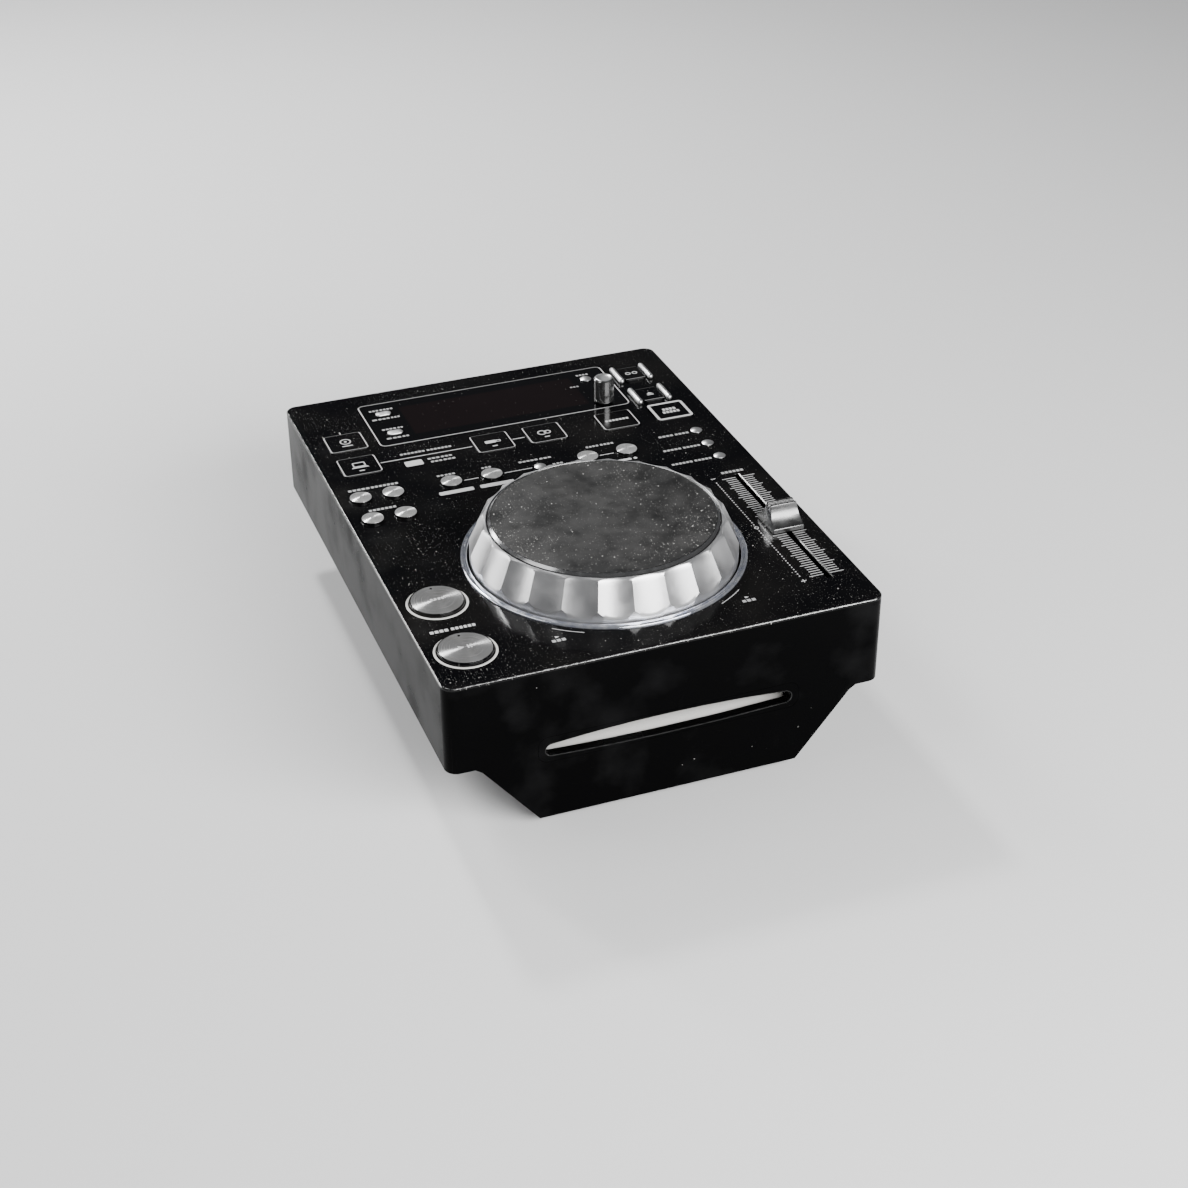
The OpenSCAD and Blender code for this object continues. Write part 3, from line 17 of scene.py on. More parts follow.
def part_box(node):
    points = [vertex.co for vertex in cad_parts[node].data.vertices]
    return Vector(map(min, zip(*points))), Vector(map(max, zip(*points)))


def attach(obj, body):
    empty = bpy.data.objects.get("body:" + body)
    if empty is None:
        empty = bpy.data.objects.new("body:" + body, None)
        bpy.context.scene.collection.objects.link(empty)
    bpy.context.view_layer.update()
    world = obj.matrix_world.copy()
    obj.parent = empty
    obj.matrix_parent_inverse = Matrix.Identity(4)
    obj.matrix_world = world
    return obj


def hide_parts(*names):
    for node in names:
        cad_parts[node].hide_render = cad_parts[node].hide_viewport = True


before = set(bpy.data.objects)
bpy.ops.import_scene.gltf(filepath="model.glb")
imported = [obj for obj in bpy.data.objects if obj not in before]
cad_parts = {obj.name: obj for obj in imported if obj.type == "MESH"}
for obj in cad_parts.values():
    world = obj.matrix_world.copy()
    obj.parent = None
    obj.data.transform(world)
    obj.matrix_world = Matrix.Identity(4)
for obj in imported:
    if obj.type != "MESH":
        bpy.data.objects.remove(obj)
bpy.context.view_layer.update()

MM = 0.001


# %% [markdown]
# ## Where things are
#
# Every place is read from the frame, so nothing has to be fitted by hand. `spot` gives the middle of a
# node in millimetres, and the levels of the panel come from the top plate and the deck.

# %% Read places from the frame
def spot(name):
    """Middle of a node, its lowest and its highest level, in millimetres."""
    low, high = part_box(name)
    middle = (low + high)/2/MM
    return middle.x, middle.y, low.z/MM, high.z/MM


def span(name):
    """Lowest and highest corner of a node, in millimetres."""
    low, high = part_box(name)
    return low/MM, high/MM


PLATE_LOW, PLATE_HIGH = span("top_plate")
PANEL = PLATE_HIGH.z
CASE_X = PLATE_HIGH.x
FRONT = PLATE_LOW.y
REAR = PLATE_HIGH.y
SLOT_X, SLOT_Y = spot("tempo_knob")[:2]
print("panel level", round(PANEL, 2), "front", round(FRONT, 2), "rear", round(REAR, 2))

# %% [markdown]
# ## The camera
#
# A product like this is shot from the player's left, a little above, with a short telephoto lens. The
# camera stands on a sphere round a point on the panel: azimuth and elevation give its direction, the
# distance gives the strength of the perspective, and a small roll levels the horizon.

# %% Camera
AZIMUTH = math.radians(-20.507)
ELEVATION = math.radians(31.827)
ROLL = math.radians(-0.393)
DISTANCE = 989.1
LENS, SENSOR = 63.44, 36
FRAME_PIXELS = 1188
AIM = Vector((-18.85, -95.75, PANEL))

toward = Vector((math.sin(AZIMUTH)*math.cos(ELEVATION), -math.cos(AZIMUTH)*math.cos(ELEVATION),
                 math.sin(ELEVATION)))
level = Vector((0, 0, 1)).cross(toward).normalized()
upward = toward.cross(level)
right = math.cos(ROLL)*level + math.sin(ROLL)*upward
above = math.cos(ROLL)*upward - math.sin(ROLL)*level
camera_axes = Matrix((right, above, toward)).transposed().to_4x4()

camera_data = bpy.data.cameras.new("camera")
camera_data.lens = LENS
camera_data.sensor_width = SENSOR
camera_data.shift_x = 1/FRAME_PIXELS
camera_data.clip_start = 0.05
camera = bpy.data.objects.new("camera", camera_data)
bpy.context.scene.collection.objects.link(camera)
camera.matrix_world = Matrix.Translation((AIM + toward*DISTANCE)*MM) @ camera_axes
bpy.context.scene.camera = camera
print("camera at", [round(v, 3) for v in camera.matrix_world.translation])


# %% [markdown]
# ## Studio light
#
# Black gloss shows nothing but what it mirrors, and satin silver shows the shape of the lamps. So the
# room stays dark. A wide softbox in front and to the right fills the front flutes of the dial, and a
# weaker one on the left fills the left flutes. A narrow strip behind the left shoulder draws the line on
# the plate's left edge, and a soft lamp high on the left the crescent on the bevel of the touch plate. A
# small one high behind the player lights the two bright fans on every spun key. The floor is pale.

# %% Lights and floor
DIAL_SPOT = (0, -0.06, 0.09)
LAMPS = (("front_softbox", (0.42, -1.18, 0.72), 1.2, 0.66, 42),
         ("left_softbox", (-1.05, 0.67, 0.28), 0.9, 0.45, 7),
         ("rear_strip", (-0.73, 1.25, 0.95), 0.18, 1.0, 15),
         ("fan_lamp", (-0.135, 1.09, 1.09), 0.14, 0.14, 14),
         ("upper_softbox", (-0.84, 0.21, 1.30), 1.0, 0.35, 5))
ROOM_COLOUR, ROOM_STRENGTH = (0.30, 0.31, 0.33, 1), 0.24
FLOOR_HALF = 3.0


def softbox(name, place, width, height, power):
    """Rectangular lamp that faces the dial; lengths are in metres and the power in watts."""
    light = bpy.data.lights.new(name, "AREA")
    light.shape = "RECTANGLE"
    light.size = width
    light.size_y = height
    light.energy = power
    lamp = bpy.data.objects.new(name, light)
    bpy.context.scene.collection.objects.link(lamp)
    facing = (Vector(place) - Vector(DIAL_SPOT)).to_track_quat("Z", "Y")
    lamp.matrix_world = Matrix.Translation(place) @ facing.to_matrix().to_4x4()


for lamp_row in LAMPS:
    softbox(*lamp_row)

world = bpy.data.worlds.new("dim_room")
world.use_nodes = True
room = world.node_tree.nodes["Background"].inputs
room["Color"].default_value = ROOM_COLOUR
room["Strength"].default_value = ROOM_STRENGTH
bpy.context.scene.world = world

corners = [(-FLOOR_HALF, -FLOOR_HALF, 0), (FLOOR_HALF, -FLOOR_HALF, 0),
           (FLOOR_HALF, FLOOR_HALF, 0), (-FLOOR_HALF, FLOOR_HALF, 0)]
floor_mesh = bpy.data.meshes.new("floor")
floor_mesh.from_pydata(corners, [], [(0, 1, 2, 3)])
floor = bpy.data.objects.new("floor", floor_mesh)
bpy.context.scene.collection.objects.link(floor)


# %% [markdown]
# ## Building materials
#
# A finish is a base colour, a roughness and the small faults of the real surface: dust, smudges, grain,
# brushing. The faults are all noise read on the piece's own coordinates. `node` adds one node and links
# or sets its inputs, and the short helpers after it make the few patterns that the player needs.

# %% Helpers for node trees
def node(tree, kind, inputs=None, **settings):
    """Add one node. An input is linked if its value is a socket, and set if not."""
    made = tree.nodes.new(kind)
    for name, value in settings.items():
        setattr(made, name, value)
    for name, value in (inputs or {}).items():
        if isinstance(value, bpy.types.NodeSocket):
            tree.links.new(value, made.inputs[name])
        else:
            made.inputs[name].default_value = value
    return made


def finish(name, colour, roughness, metallic=0.0, **constants):
    """Start a material whose shader sockets hold plain values. Returns it with its tree and shader."""
    material = bpy.data.materials.new(name)
    material.use_nodes = True
    shader = material.node_tree.nodes["Principled BSDF"]
    shader.inputs["Base Color"].default_value = (*colour, 1)
    shader.inputs["Roughness"].default_value = roughness
    shader.inputs["Metallic"].default_value = metallic
    for socket, value in constants.items():
        shader.inputs[socket.replace("_", " ")].default_value = value
    material.diffuse_color = (*colour, 1)
    return material, material.node_tree, shader


def here(tree, centre=(0, 0, 0), stretch=(1, 1, 1)):
    """Object coordinates, measured from a centre in millimetres and stretched."""
    coords = node(tree, "ShaderNodeTexCoord").outputs["Object"]
    shift = [-c*MM*s for c, s in zip(centre, stretch)]
    return node(tree, "ShaderNodeMapping", {"Vector": coords, "Location": shift, "Scale": stretch}).outputs[0]


def cloud(tree, place, pitch, detail):
    """Soft noise with patches about one pitch (in millimetres) wide, from 0 to 1."""
    inputs = {"Vector": place, "Scale": 1/(pitch*MM), "Detail": detail}
    return node(tree, "ShaderNodeTexNoise", inputs).outputs[0]


def remap(tree, value, low, high, to_low=0.0, to_high=1.0):
    """Carry a range over to another one; what lies outside is held at its ends."""
    inputs = {"Value": value, "From Min": low, "From Max": high, "To Min": to_low, "To Max": to_high}
    return node(tree, "ShaderNodeMapRange", inputs).outputs[0]


def patches(tree, pitch, detail, low, high, to_low=0.0, to_high=1.0):
    """Soft patches on the piece's own coordinates, carried over to a range."""
    return remap(tree, cloud(tree, here(tree), pitch, detail), low, high, to_low, to_high)


def blend(tree, amount, first, second):
    """Mix two colours; each is a socket or a plain colour."""
    mix = node(tree, "ShaderNodeMix", data_type="RGBA")
    for index, value in ((0, amount), (6, first), (7, second)):
        if isinstance(value, bpy.types.NodeSocket):
            tree.links.new(value, mix.inputs[index])
        else:
            mix.inputs[index].default_value = (*value, 1) if index else value
    return mix.outputs[2]


def calc(tree, operation, first, second=0.0, third=0.0):
    """One sum on up to three values."""
    inputs = {0: first, 1: second, 2: third}
    return node(tree, "ShaderNodeMath", inputs, operation=operation).outputs[0]


def feed(shader, colour, roughness=None):
    """Link a worked-out colour, and roughness, to a shader."""
    for socket, value in (("Base Color", colour), ("Roughness", roughness)):
        if value is not None:
            shader.id_data.links.new(value, shader.inputs[socket])


def relief(tree, shader, height, depth, strength):
    """Bump of a depth in millimetres."""
    bump = node(tree, "ShaderNodeBump", {"Height": height, "Distance": depth*MM, "Strength": strength})
    tree.links.new(bump.outputs[0], shader.inputs["Normal"])


def fine_relief(tree, shader, pitch, detail, depth, strength):
    """Bump of soft noise, as on a moulded or blasted surface."""
    relief(tree, shader, cloud(tree, here(tree), pitch, detail), depth, strength)


# %% [markdown]
# ## Dust
#
# A player that has been worked with is covered in fine pale dust. A Voronoi texture gives one point in
# each cell. Cells are switched on by their random colour, and a slow noise makes the dust denser in some
# places, as it is where nobody wipes; it also thickens towards the front edge. The result is a mask: 1 on
# a speck and 0 elsewhere. Real dust has all sizes, so the finishes lay a few such layers over another.

# %% Dust mask
NEAR_BAND, EDGE_BAND, FRONT_DUST = 160, 14, 0.15


def dust(tree, pitch, size, share, flat=True):
    """Specks up to a size, in cells of a pitch (millimetres); share is the part of the cells that has one."""
    place = here(tree)
    along = node(tree, "ShaderNodeSeparateXYZ", {"Vector": place}).outputs["Y"]
    near, edge = (remap(tree, along, (FRONT + wide)*MM, FRONT*MM, 0.0, FRONT_DUST)
                  for wide in (NEAR_BAND, EDGE_BAND))
    cells = node(tree, "ShaderNodeTexVoronoi", {"Vector": place, "Scale": 1/(pitch*MM)},
                 voronoi_dimensions="2D" if flat else "3D")
    chance = node(tree, "ShaderNodeSeparateColor", {"Color": cells.outputs["Color"]}).outputs[0]
    drift = remap(tree, cloud(tree, place, 40, 2), 0.35, 0.7, 0.55, 1.2)
    density = calc(tree, "ADD", drift, calc(tree, "ADD", near, edge))
    excess = calc(tree, "SUBTRACT", calc(tree, "MULTIPLY", density, share), chance)
    radius = calc(tree, "MULTIPLY", excess, size/pitch/share)
    return calc(tree, "LESS_THAN", cells.outputs["Distance"], radius)


def dust_layers(tree, layers, flat=True):
    """Several layers of specks, each a pitch, a size, a share and a strength. The strongest one shows."""
    total = 0.0
    for pitch, size, share, strength in layers:
        specks = calc(tree, "MULTIPLY", dust(tree, pitch, size, share, flat), strength)
        total = calc(tree, "MAXIMUM", specks, total)
    return total


DUST_ROUGH = 0.95


def dusty(tree, shader, colour, roughness, mask, amount, ash=(0.42, 0.41, 0.39)):
    """Lay a dust mask over a base colour and a roughness; either may be a socket."""
    strength = calc(tree, "MULTIPLY", mask, amount)
    rough = node(tree, "ShaderNodeMix", {0: strength, 2: roughness, 3: DUST_ROUGH}, data_type="FLOAT")
    feed(shader, blend(tree, strength, colour, ash), rough.outputs[0])


# %% [markdown]
# ## Black finishes
#
# The control panel is a lacquered plate: nearly black, very smooth, smudged by fingers and dusty. The
# cabinet under it is moulded in black plastic with a slightly softer gloss and a faint orange peel. The
# tray below is plain, fine-grained plastic.

# %% Lacquer, moulded black and grained black
PANEL_DUST = ((1.1, 0.15, 0.40, 0.24), (2.6, 0.23, 0.34, 0.5), (7.0, 0.36, 0.32, 0.85))


def lacquer_black():
    material, tree, shader = finish("lacquer_black", (0.004, 0.004, 0.005), 0.1, IOR=1.26)
    colour = blend(tree, patches(tree, 50, 4, 0.4, 0.75), (0.0015, 0.0015, 0.002), (0.008, 0.0075, 0.007))
    smudge = patches(tree, 22, 5, 0.45, 0.75, 0.10, 0.24)
    dusty(tree, shader, colour, smudge, dust_layers(tree, PANEL_DUST), 0.9)
    fine_relief(tree, shader, 1.4, 2, 0.002, 0.25)
    return material


def moulded_black():
    material, tree, shader = finish("moulded_black", (0.002, 0.002, 0.002), 0.24, IOR=1.09)
    haze = patches(tree, 34, 6, 0.5, 0.75)
    colour = blend(tree, haze, (0.0010, 0.0010, 0.0011), (0.0065, 0.0065, 0.0068))
    smudge = patches(tree, 30, 6, 0.4, 0.75, 0.14, 0.36)
    dusty(tree, shader, colour, smudge, dust(tree, 6.0, 0.35, 0.20, flat=False), 0.35)
    fine_relief(tree, shader, 0.9, 2, 0.004, 0.3)
    return material


def grained_black():
    material, tree, shader = finish("grained_black", (0.014, 0.014, 0.015), 0.55)
    grain = node(tree, "ShaderNodeTexVoronoi", {"Vector": here(tree), "Scale": 1/(0.7*MM)})
    feed(shader, None, patches(tree, 25, 5, 0.35, 0.7, 0.45, 0.65))
    relief(tree, shader, grain.outputs["Distance"], 0.03, 0.6)
    return material


LACQUER = lacquer_black()
MOULDED = moulded_black()
GRAINED = grained_black()


# %% [markdown]
# ## Silver finishes
#
# Several silvers sit side by side. The dial is plastic with silver paint: soft, a little sparkling. The
# keys' caps are spun metal, whose fine circular grooves pull the highlight into two opposite fans; an
# anisotropic shader does that once its tangent follows the grooves, which the cap's own UV map gives, and
# a quarter turn then lays the wide side of the highlight across them. The guards and the knobs are plated
# in satin chrome, and the lacquered plate shows its bare metal where its edge is cut.

# %% Silver paint, spun metal, satin chrome, cut edge
GROOVE_STRETCH = (3.0, 5200, 1)
BARE_DEPTH, BARE_FADE = 0.5, 0.1


def silver_paint():
    material, tree, shader = finish("silver_paint", (0.62, 0.62, 0.63), 0.34, 0.9)
    patch = cloud(tree, here(tree), 18, 4)
    feed(shader, blend(tree, patch, (0.58, 0.58, 0.59), (0.68, 0.68, 0.68)),
         patches(tree, 9, 5, 0.35, 0.7, 0.29, 0.40))
    fine_relief(tree, shader, 0.16, 1, 0.010, 0.35)
    return material


def spun_metal(name, shade, roughness):
    """Turned or spun metal: concentric grooves that follow the UV map of the piece."""
    material, tree, shader = finish(name, (shade, shade, shade*0.985), roughness, 0.5,
                                    Anisotropic=1.0, Anisotropic_Rotation=0.25)
    wrap = node(tree, "ShaderNodeTangent", direction_type="UV_MAP", uv_map="wrap").outputs[0]
    tree.links.new(wrap, shader.inputs["Tangent"])
    grooves = node(tree, "ShaderNodeUVMap", uv_map="wrap").outputs[0]
    thin = node(tree, "ShaderNodeMapping", {"Vector": grooves, "Scale": GROOVE_STRETCH}).outputs[0]
    lines = node(tree, "ShaderNodeTexNoise", {"Vector": thin, "Scale": 1.0, "Detail": 3}).outputs[0]
    stain = patches(tree, 7, 5, 0.35, 0.7)
    dark = blend(tree, stain, (shade*0.78,)*3, (shade*0.62, shade*0.60, shade*0.57))
    feed(shader, blend(tree, lines, dark, (min(shade*1.15, 0.95),)*3),
         remap(tree, lines, 0.3, 0.7, roughness*0.85, roughness*1.2))
    return material


def satin_chrome(name, shade, roughness):
    """Plating over a fine blasted surface: softer than chrome and a little uneven."""
    material, tree, shader = finish(name, (shade,)*3, roughness, 0.95)
    uneven = cloud(tree, here(tree), 4, 5)
    feed(shader, blend(tree, uneven, (shade*0.85,)*3, (shade*1.1,)*3),
         remap(tree, uneven, 0.3, 0.7, roughness*0.85, roughness*1.2))
    fine_relief(tree, shader, 0.14, 1, 0.006, 0.3)
    return material


def cut_edge():
    """Satin bare metal of a milled edge. Only its highest half millimetre is bare, below it is black."""
    material, tree, shader = finish("cut_edge", (0.62, 0.62, 0.62), 0.2, 1.0)
    scratch = patches(tree, 1.5, 5, 0.35, 0.65)
    metal = blend(tree, scratch, (0.12, 0.12, 0.12), (0.30, 0.30, 0.295))
    level = node(tree, "ShaderNodeSeparateXYZ", {"Vector": here(tree)}).outputs["Z"]
    bare = remap(tree, level, (PANEL - BARE_DEPTH)*MM, (PANEL - BARE_DEPTH + BARE_FADE)*MM)
    feed(shader, blend(tree, bare, (0.004, 0.004, 0.004), metal), remap(tree, scratch, 0.0, 1.0, 0.14, 0.28))
    return material


SILVER_PAINT = silver_paint()
SPUN = spun_metal("spun_metal", 0.25, 0.24)
TURNED = spun_metal("turned_metal", 0.48, 0.26)
CUT_EDGE = cut_edge()
SATIN_CHROME = satin_chrome("satin_chrome", 0.80, 0.32)
BARREL = satin_chrome("barrel", 0.26, 0.18)
KNOB_SILVER = satin_chrome("knob_silver", 0.17, 0.27)
print("silvers:", SPUN.name, TURNED.name, SATIN_CHROME.name)


# %% [markdown]
# ## Ink, rubber, felt, glass
#
# The panel is silk-screened in one light grey ink, a little uneven under a loupe. The feet are dusty
# rubber and the disc slot is lined with felt, whose fibres only show as a soft, rough, fuzzy surface.
# The collar round the dial is a moulded clear ring with a bluish cast.

# %% Ink, rubber, felt, collar and window
DISPLAY_PITCH = 1.3


def ink(name, shade):
    material, tree, shader = finish(name, (shade, shade, shade*0.98), 0.5)
    feed(shader, blend(tree, patches(tree, 0.8, 4, 0.3, 0.75), (shade*0.8,)*3, (shade,)*3))
    return material


def rubber():
    material, tree, shader = finish("rubber", (0.02, 0.02, 0.02), 0.75)
    dusty(tree, shader, (0.02, 0.02, 0.021), 0.75, dust(tree, 1.5, 0.12, 0.4, flat=False), 0.4)
    fine_relief(tree, shader, 0.5, 4, 0.03, 0.6)
    return material


def felt():
    material, tree, shader = finish("felt", (0.62, 0.61, 0.59), 0.95, Sheen_Weight=0.4)
    fibre = cloud(tree, here(tree, stretch=(1, 2.2, 1)), 0.35, 6)
    feed(shader, blend(tree, remap(tree, fibre, 0.3, 0.7), (0.50, 0.49, 0.47), (0.72, 0.71, 0.69)))
    relief(tree, shader, fibre, 0.15, 0.9)
    return material


def clear_ring():
    material, tree, shader = finish("clear_ring", (0.62, 0.64, 0.70), 0.08, 0.85, Specular_IOR_Level=0.6)
    feed(shader, blend(tree, patches(tree, 4, 6, 0.3, 0.7), (0.46, 0.49, 0.60), (0.84, 0.85, 0.88)),
         patches(tree, 2, 4, 0.4, 0.7, 0.05, 0.16))
    return material


def smoked_window(glass_x, glass_y, half_w, half_d):
    """Tinted window. The fine grid of the unlit display only just shows through it."""
    material, tree, shader = finish("smoked_window", (0.004, 0.004, 0.005), 0.05, Specular_IOR_Level=0.45)
    place = here(tree, (glass_x, glass_y, 0))
    axes = node(tree, "ShaderNodeSeparateXYZ", {"Vector": place})
    inside = []
    for axis, half in ((0, half_w), (1, half_d)):
        off = calc(tree, "ABSOLUTE", axes.outputs[axis])
        inside.append(calc(tree, "LESS_THAN", off, half*MM))
    white, black = (1, 1, 1, 1), (0, 0, 0, 1)
    grid = node(tree, "ShaderNodeTexBrick", {
        "Vector": place, "Scale": 1/(DISPLAY_PITCH*MM), "Mortar Size": 0.06, "Brick Width": 1.0,
        "Row Height": 1.0, "Color1": white, "Color2": white, "Mortar": black}, offset=0.0).outputs["Color"]
    dots = node(tree, "ShaderNodeSeparateColor", {"Color": grid}).outputs[0]
    glow = calc(tree, "MULTIPLY", calc(tree, "MULTIPLY", *inside), dots)
    colour = blend(tree, glow, (0.0012, 0.0012, 0.0016), (0.0055, 0.0028, 0.0030))
    smear = patches(tree, 26, 5, 0.45, 0.75, 0.03, 0.16)
    dusty(tree, shader, colour, smear, dust(tree, 4.0, 0.16, 0.3), 0.6)
    return material


INK = ink("light_ink", 0.62)
WORD_INK = ink("word_ink", 0.42)
# The next two inks are painted light and shade: lines of a printed outline that catch less light than its
# sides get them instead of the light ink.
PAINTED_HALF_LIGHT_INK = ink("painted_half_light_ink", 0.22)
PAINTED_SHADE_INK = ink("painted_shade_ink", 0.018)
RUBBER = rubber()
FELT = felt()
CLEAR_RING = clear_ring()
print("materials:", len(bpy.data.materials))


# %% [markdown]
# ## Skins through loops
#
# Almost every piece of the panel is a stack of closed loops: a key is a stack of rounded rectangles, a
# knob or a plate is a stack of circles. `skin` bridges such a stack and closes its two ends, so each
# piece comes out as one closed shell with its faces outwards. It also lays a UV map called wrap, with U
# round the loop and V along the profile in metres, which the spun metals use.

# %% Helpers for meshes
def circle(x, y, radius, z, count):
    turn = 2*math.pi/count
    return [Vector((x + radius*math.cos(i*turn), y + radius*math.sin(i*turn), z)) for i in range(count)]


def rounded(x, y, width, depth, radius, z, steps=6):
    """Rounded rectangle, counter-clockwise from its right side."""
    radius = max(min(radius, width/2 - 1e-4, depth/2 - 1e-4), 0.01)
    loop = []
    for corner, (sx, sy) in enumerate(((1, 1), (-1, 1), (-1, -1), (1, -1))):
        cx = x + sx*(width/2 - radius)
        cy = y + sy*(depth/2 - radius)
        for i in range(steps + 1):
            angle = math.radians(90*corner + 90*i/steps)
            loop.append(Vector((cx + radius*math.cos(angle), cy + radius*math.sin(angle), z)))
    return loop


def skin(shape, loops, paint=0, close=True):
    """Bridge loops of equal count. paint is one material index, or one for each band and the last end."""
    wrap = shape.loops.layers.uv.get("wrap") or shape.loops.layers.uv.new("wrap")
    bands = paint if isinstance(paint, (list, tuple)) else [paint]*len(loops)
    rings = [[shape.verts.new(p*MM) for p in loop] for loop in loops]
    count = len(loops[0])
    run = 0.0
    for k in range(len(rings) - 1):
        step = (loops[k + 1][0] - loops[k][0]).length*MM
        for j in range(count):
            following = (j + 1) % count
            near, far = rings[k], rings[k + 1]
            face = shape.faces.new((near[j], near[following], far[following], far[j]))
            face.material_index = bands[k]
            corners = ((j, run), (j + 1, run), (j + 1, run + step), (j, run + step))
            for corner, (u, v) in zip(face.loops, corners):
                corner[wrap].uv = (u/count, v)
        run += step
    if close:
        shape.faces.new(list(reversed(rings[0]))).material_index = bands[0]
        shape.faces.new(rings[-1]).material_index = bands[-1]
    return rings


def tube(shape, loops, paint):
    """Skin of a ring: its last loop is joined to its first. paint is one index for each band."""
    rings = skin(shape, loops, paint, close=False)
    count = len(loops[0])
    for j in range(count):
        k = (j + 1) % count
        shape.faces.new((rings[-1][j], rings[-1][k], rings[0][k], rings[0][j])).material_index = paint[-1]


def turned(x, y, profile, count):
    """Loops of a lathe-turned piece from (radius, level) pairs."""
    return [circle(x, y, radius, z, count) for radius, z in profile]


def arc(centre_r, centre_z, radius, start, end, steps):
    """Points of a round in a profile, between two angles in degrees."""
    points = []
    for i in range(steps + 1):
        angle = math.radians(start + (end - start)*i/steps)
        points.append((centre_r + radius*math.cos(angle), centre_z + radius*math.sin(angle)))
    return points


def dome(radius, low, rise, steps=10, core=0.25):
    """Profile of a shallow dome from its edge to a small core."""
    ball = (radius*radius + rise*rise)/(2*rise)
    points = []
    for i in range(1, steps + 1):
        r = radius + (core - radius)*i/steps
        points.append((r, low + rise - ball + math.sqrt(ball*ball - r*r)))
    return points


def piece(name, shape, body, materials, replaces=(), sharp=30):
    """Turn a bmesh into an object that rides on a body."""
    bmesh.ops.recalc_face_normals(shape, faces=shape.faces)
    mesh = bpy.data.meshes.new(name)
    shape.to_mesh(mesh)
    shape.free()
    for material in materials:
        mesh.materials.append(material)
    return settle(name, mesh, body, replaces, sharp)


def settle(name, mesh, body, replaces=(), sharp=30):
    """Link a finished mesh, shade it and hand it to the frame."""
    mesh.shade_smooth()
    mesh.set_sharp_from_angle(angle=math.radians(sharp))
    made = bpy.data.objects.new(name, mesh)
    bpy.context.scene.collection.objects.link(made)
    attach(made, body)
    if replaces:
        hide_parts(*replaces)
    return made


# %% [markdown]
# ## Dressing a moulding
#
# The cabinet, the plate and the sockets have the right shape already, but every edge of a CAD solid is
# razor sharp and no moulding is. A copy of the node is merged, its flat faces are joined, and every sharp
# edge gets a small round, which is what catches the light. Faces that lie square to an axis stay flat-shaded,
# or the rounds beside them would bend the light over a whole plate.

# %% Soft-edged copies of CAD nodes
LEVEL_ENOUGH = 0.9999


def keep_level(made):
    """Flat-shade the faces that lie square to an axis."""
    for face in made.data.polygons:
        if max(abs(part) for part in face.normal) > LEVEL_ENOUGH:
            face.use_smooth = False
    return made


def middle_of(edge):
    """Middle of an edge, in millimetres."""
    return (edge.verts[0].co + edge.verts[1].co)/2/MM


def soft_copy(name, nodes, body, materials, edge, sharp=35, choose=None, milled=None, spared=None,
              clamp=True):
    """Copy CAD nodes, round their sharp edges by `edge` millimetres and replace them. choose(middle, normal)
    may pick a finish for each face, milled(middle) the edges that first get a flat chamfer, and
    spared(middle) those that stay sharp; all places are in millimetres. Rounds that run along a chain of
    short edges keep their width only when they are not clamped."""
    shape = bmesh.new()
    for source in nodes:
        shape.from_mesh(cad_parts[source].data)
    bmesh.ops.remove_doubles(shape, verts=shape.verts, dist=2e-6)
    bmesh.ops.dissolve_limit(shape, angle_limit=math.radians(1), verts=shape.verts, edges=shape.edges)
    if milled:
        picked = [e for e in shape.edges if milled(middle_of(e))]
        bmesh.ops.bevel(shape, geom=picked, offset=SLOT_CHAMFER*MM, segments=1, affect="EDGES",
                        clamp_overlap=True)
    crisp = [e for e in shape.edges
             if len(e.link_faces) == 2 and e.calc_face_angle(0) > math.radians(sharp)]
    if spared:
        crisp = [e for e in crisp if not spared(middle_of(e))]
    bmesh.ops.bevel(shape, geom=crisp, offset=edge*MM, segments=2, profile=0.5, affect="EDGES",
                    clamp_overlap=clamp)
    if choose:
        for face in shape.faces:
            face.material_index = choose(face.calc_center_median()/MM, face.normal)
    return keep_level(piece(name, shape, body, materials, nodes, 25))


SLOT_W, SLOT_CHAMFER, CORNER_R = 2.6, 0.7, 5.0
BEZEL_LOW, BEZEL_HIGH = span("slot_bezel")


def in_slot(middle, margin):
    """True for places in or near the fader's slot."""
    return abs(middle.x - SLOT_X) < SLOT_W/2 + margin and abs(middle.y - SLOT_Y) < 60


def slot_rim(middle):
    return in_slot(middle, 0.1) and middle.z > PANEL - 0.01


def plate_paint(middle, normal):
    """Lacquer, but bare metal on the plate's own chamfer and on the walls of the fader's slot."""
    inset = min(CASE_X - abs(middle.x), middle.y - FRONT, REAR - middle.y)
    outward = middle.x*normal.x + (middle.y - (FRONT + REAR)/2)*normal.y > 0
    chamfer = inset < CORNER_R and 0.3 < normal.z < 0.95 and outward
    slot_wall = in_slot(middle, SLOT_CHAMFER) and normal.z < 0.95
    return 1 if chamfer or slot_wall else 0


def bezel_seam(middle):
    """True for the seam between the cabinet and the bezel, which is flush with it."""
    across = abs(middle.x) > BEZEL_HIGH.x - 9 or not BEZEL_LOW.z + 1.9 < middle.z < BEZEL_HIGH.z - 1.9
    return middle.y < FRONT + 1 and across and BEZEL_LOW.z - 1 < middle.z < BEZEL_HIGH.z + 1


plate = soft_copy("control_plate", ["top_plate"], "case", [LACQUER, CUT_EDGE], 0.08,
                  choose=plate_paint, milled=slot_rim)
cabinet = soft_copy("cabinet", ["upper_cabinet"], "case", [MOULDED], 0.35,
                    spared=bezel_seam)
soft_copy("tray", ["lower_cabinet"], "case", [GRAINED], 0.3)
print("cabinet faces:", len(cabinet.data.polygons), "plate faces:", len(plate.data.polygons))

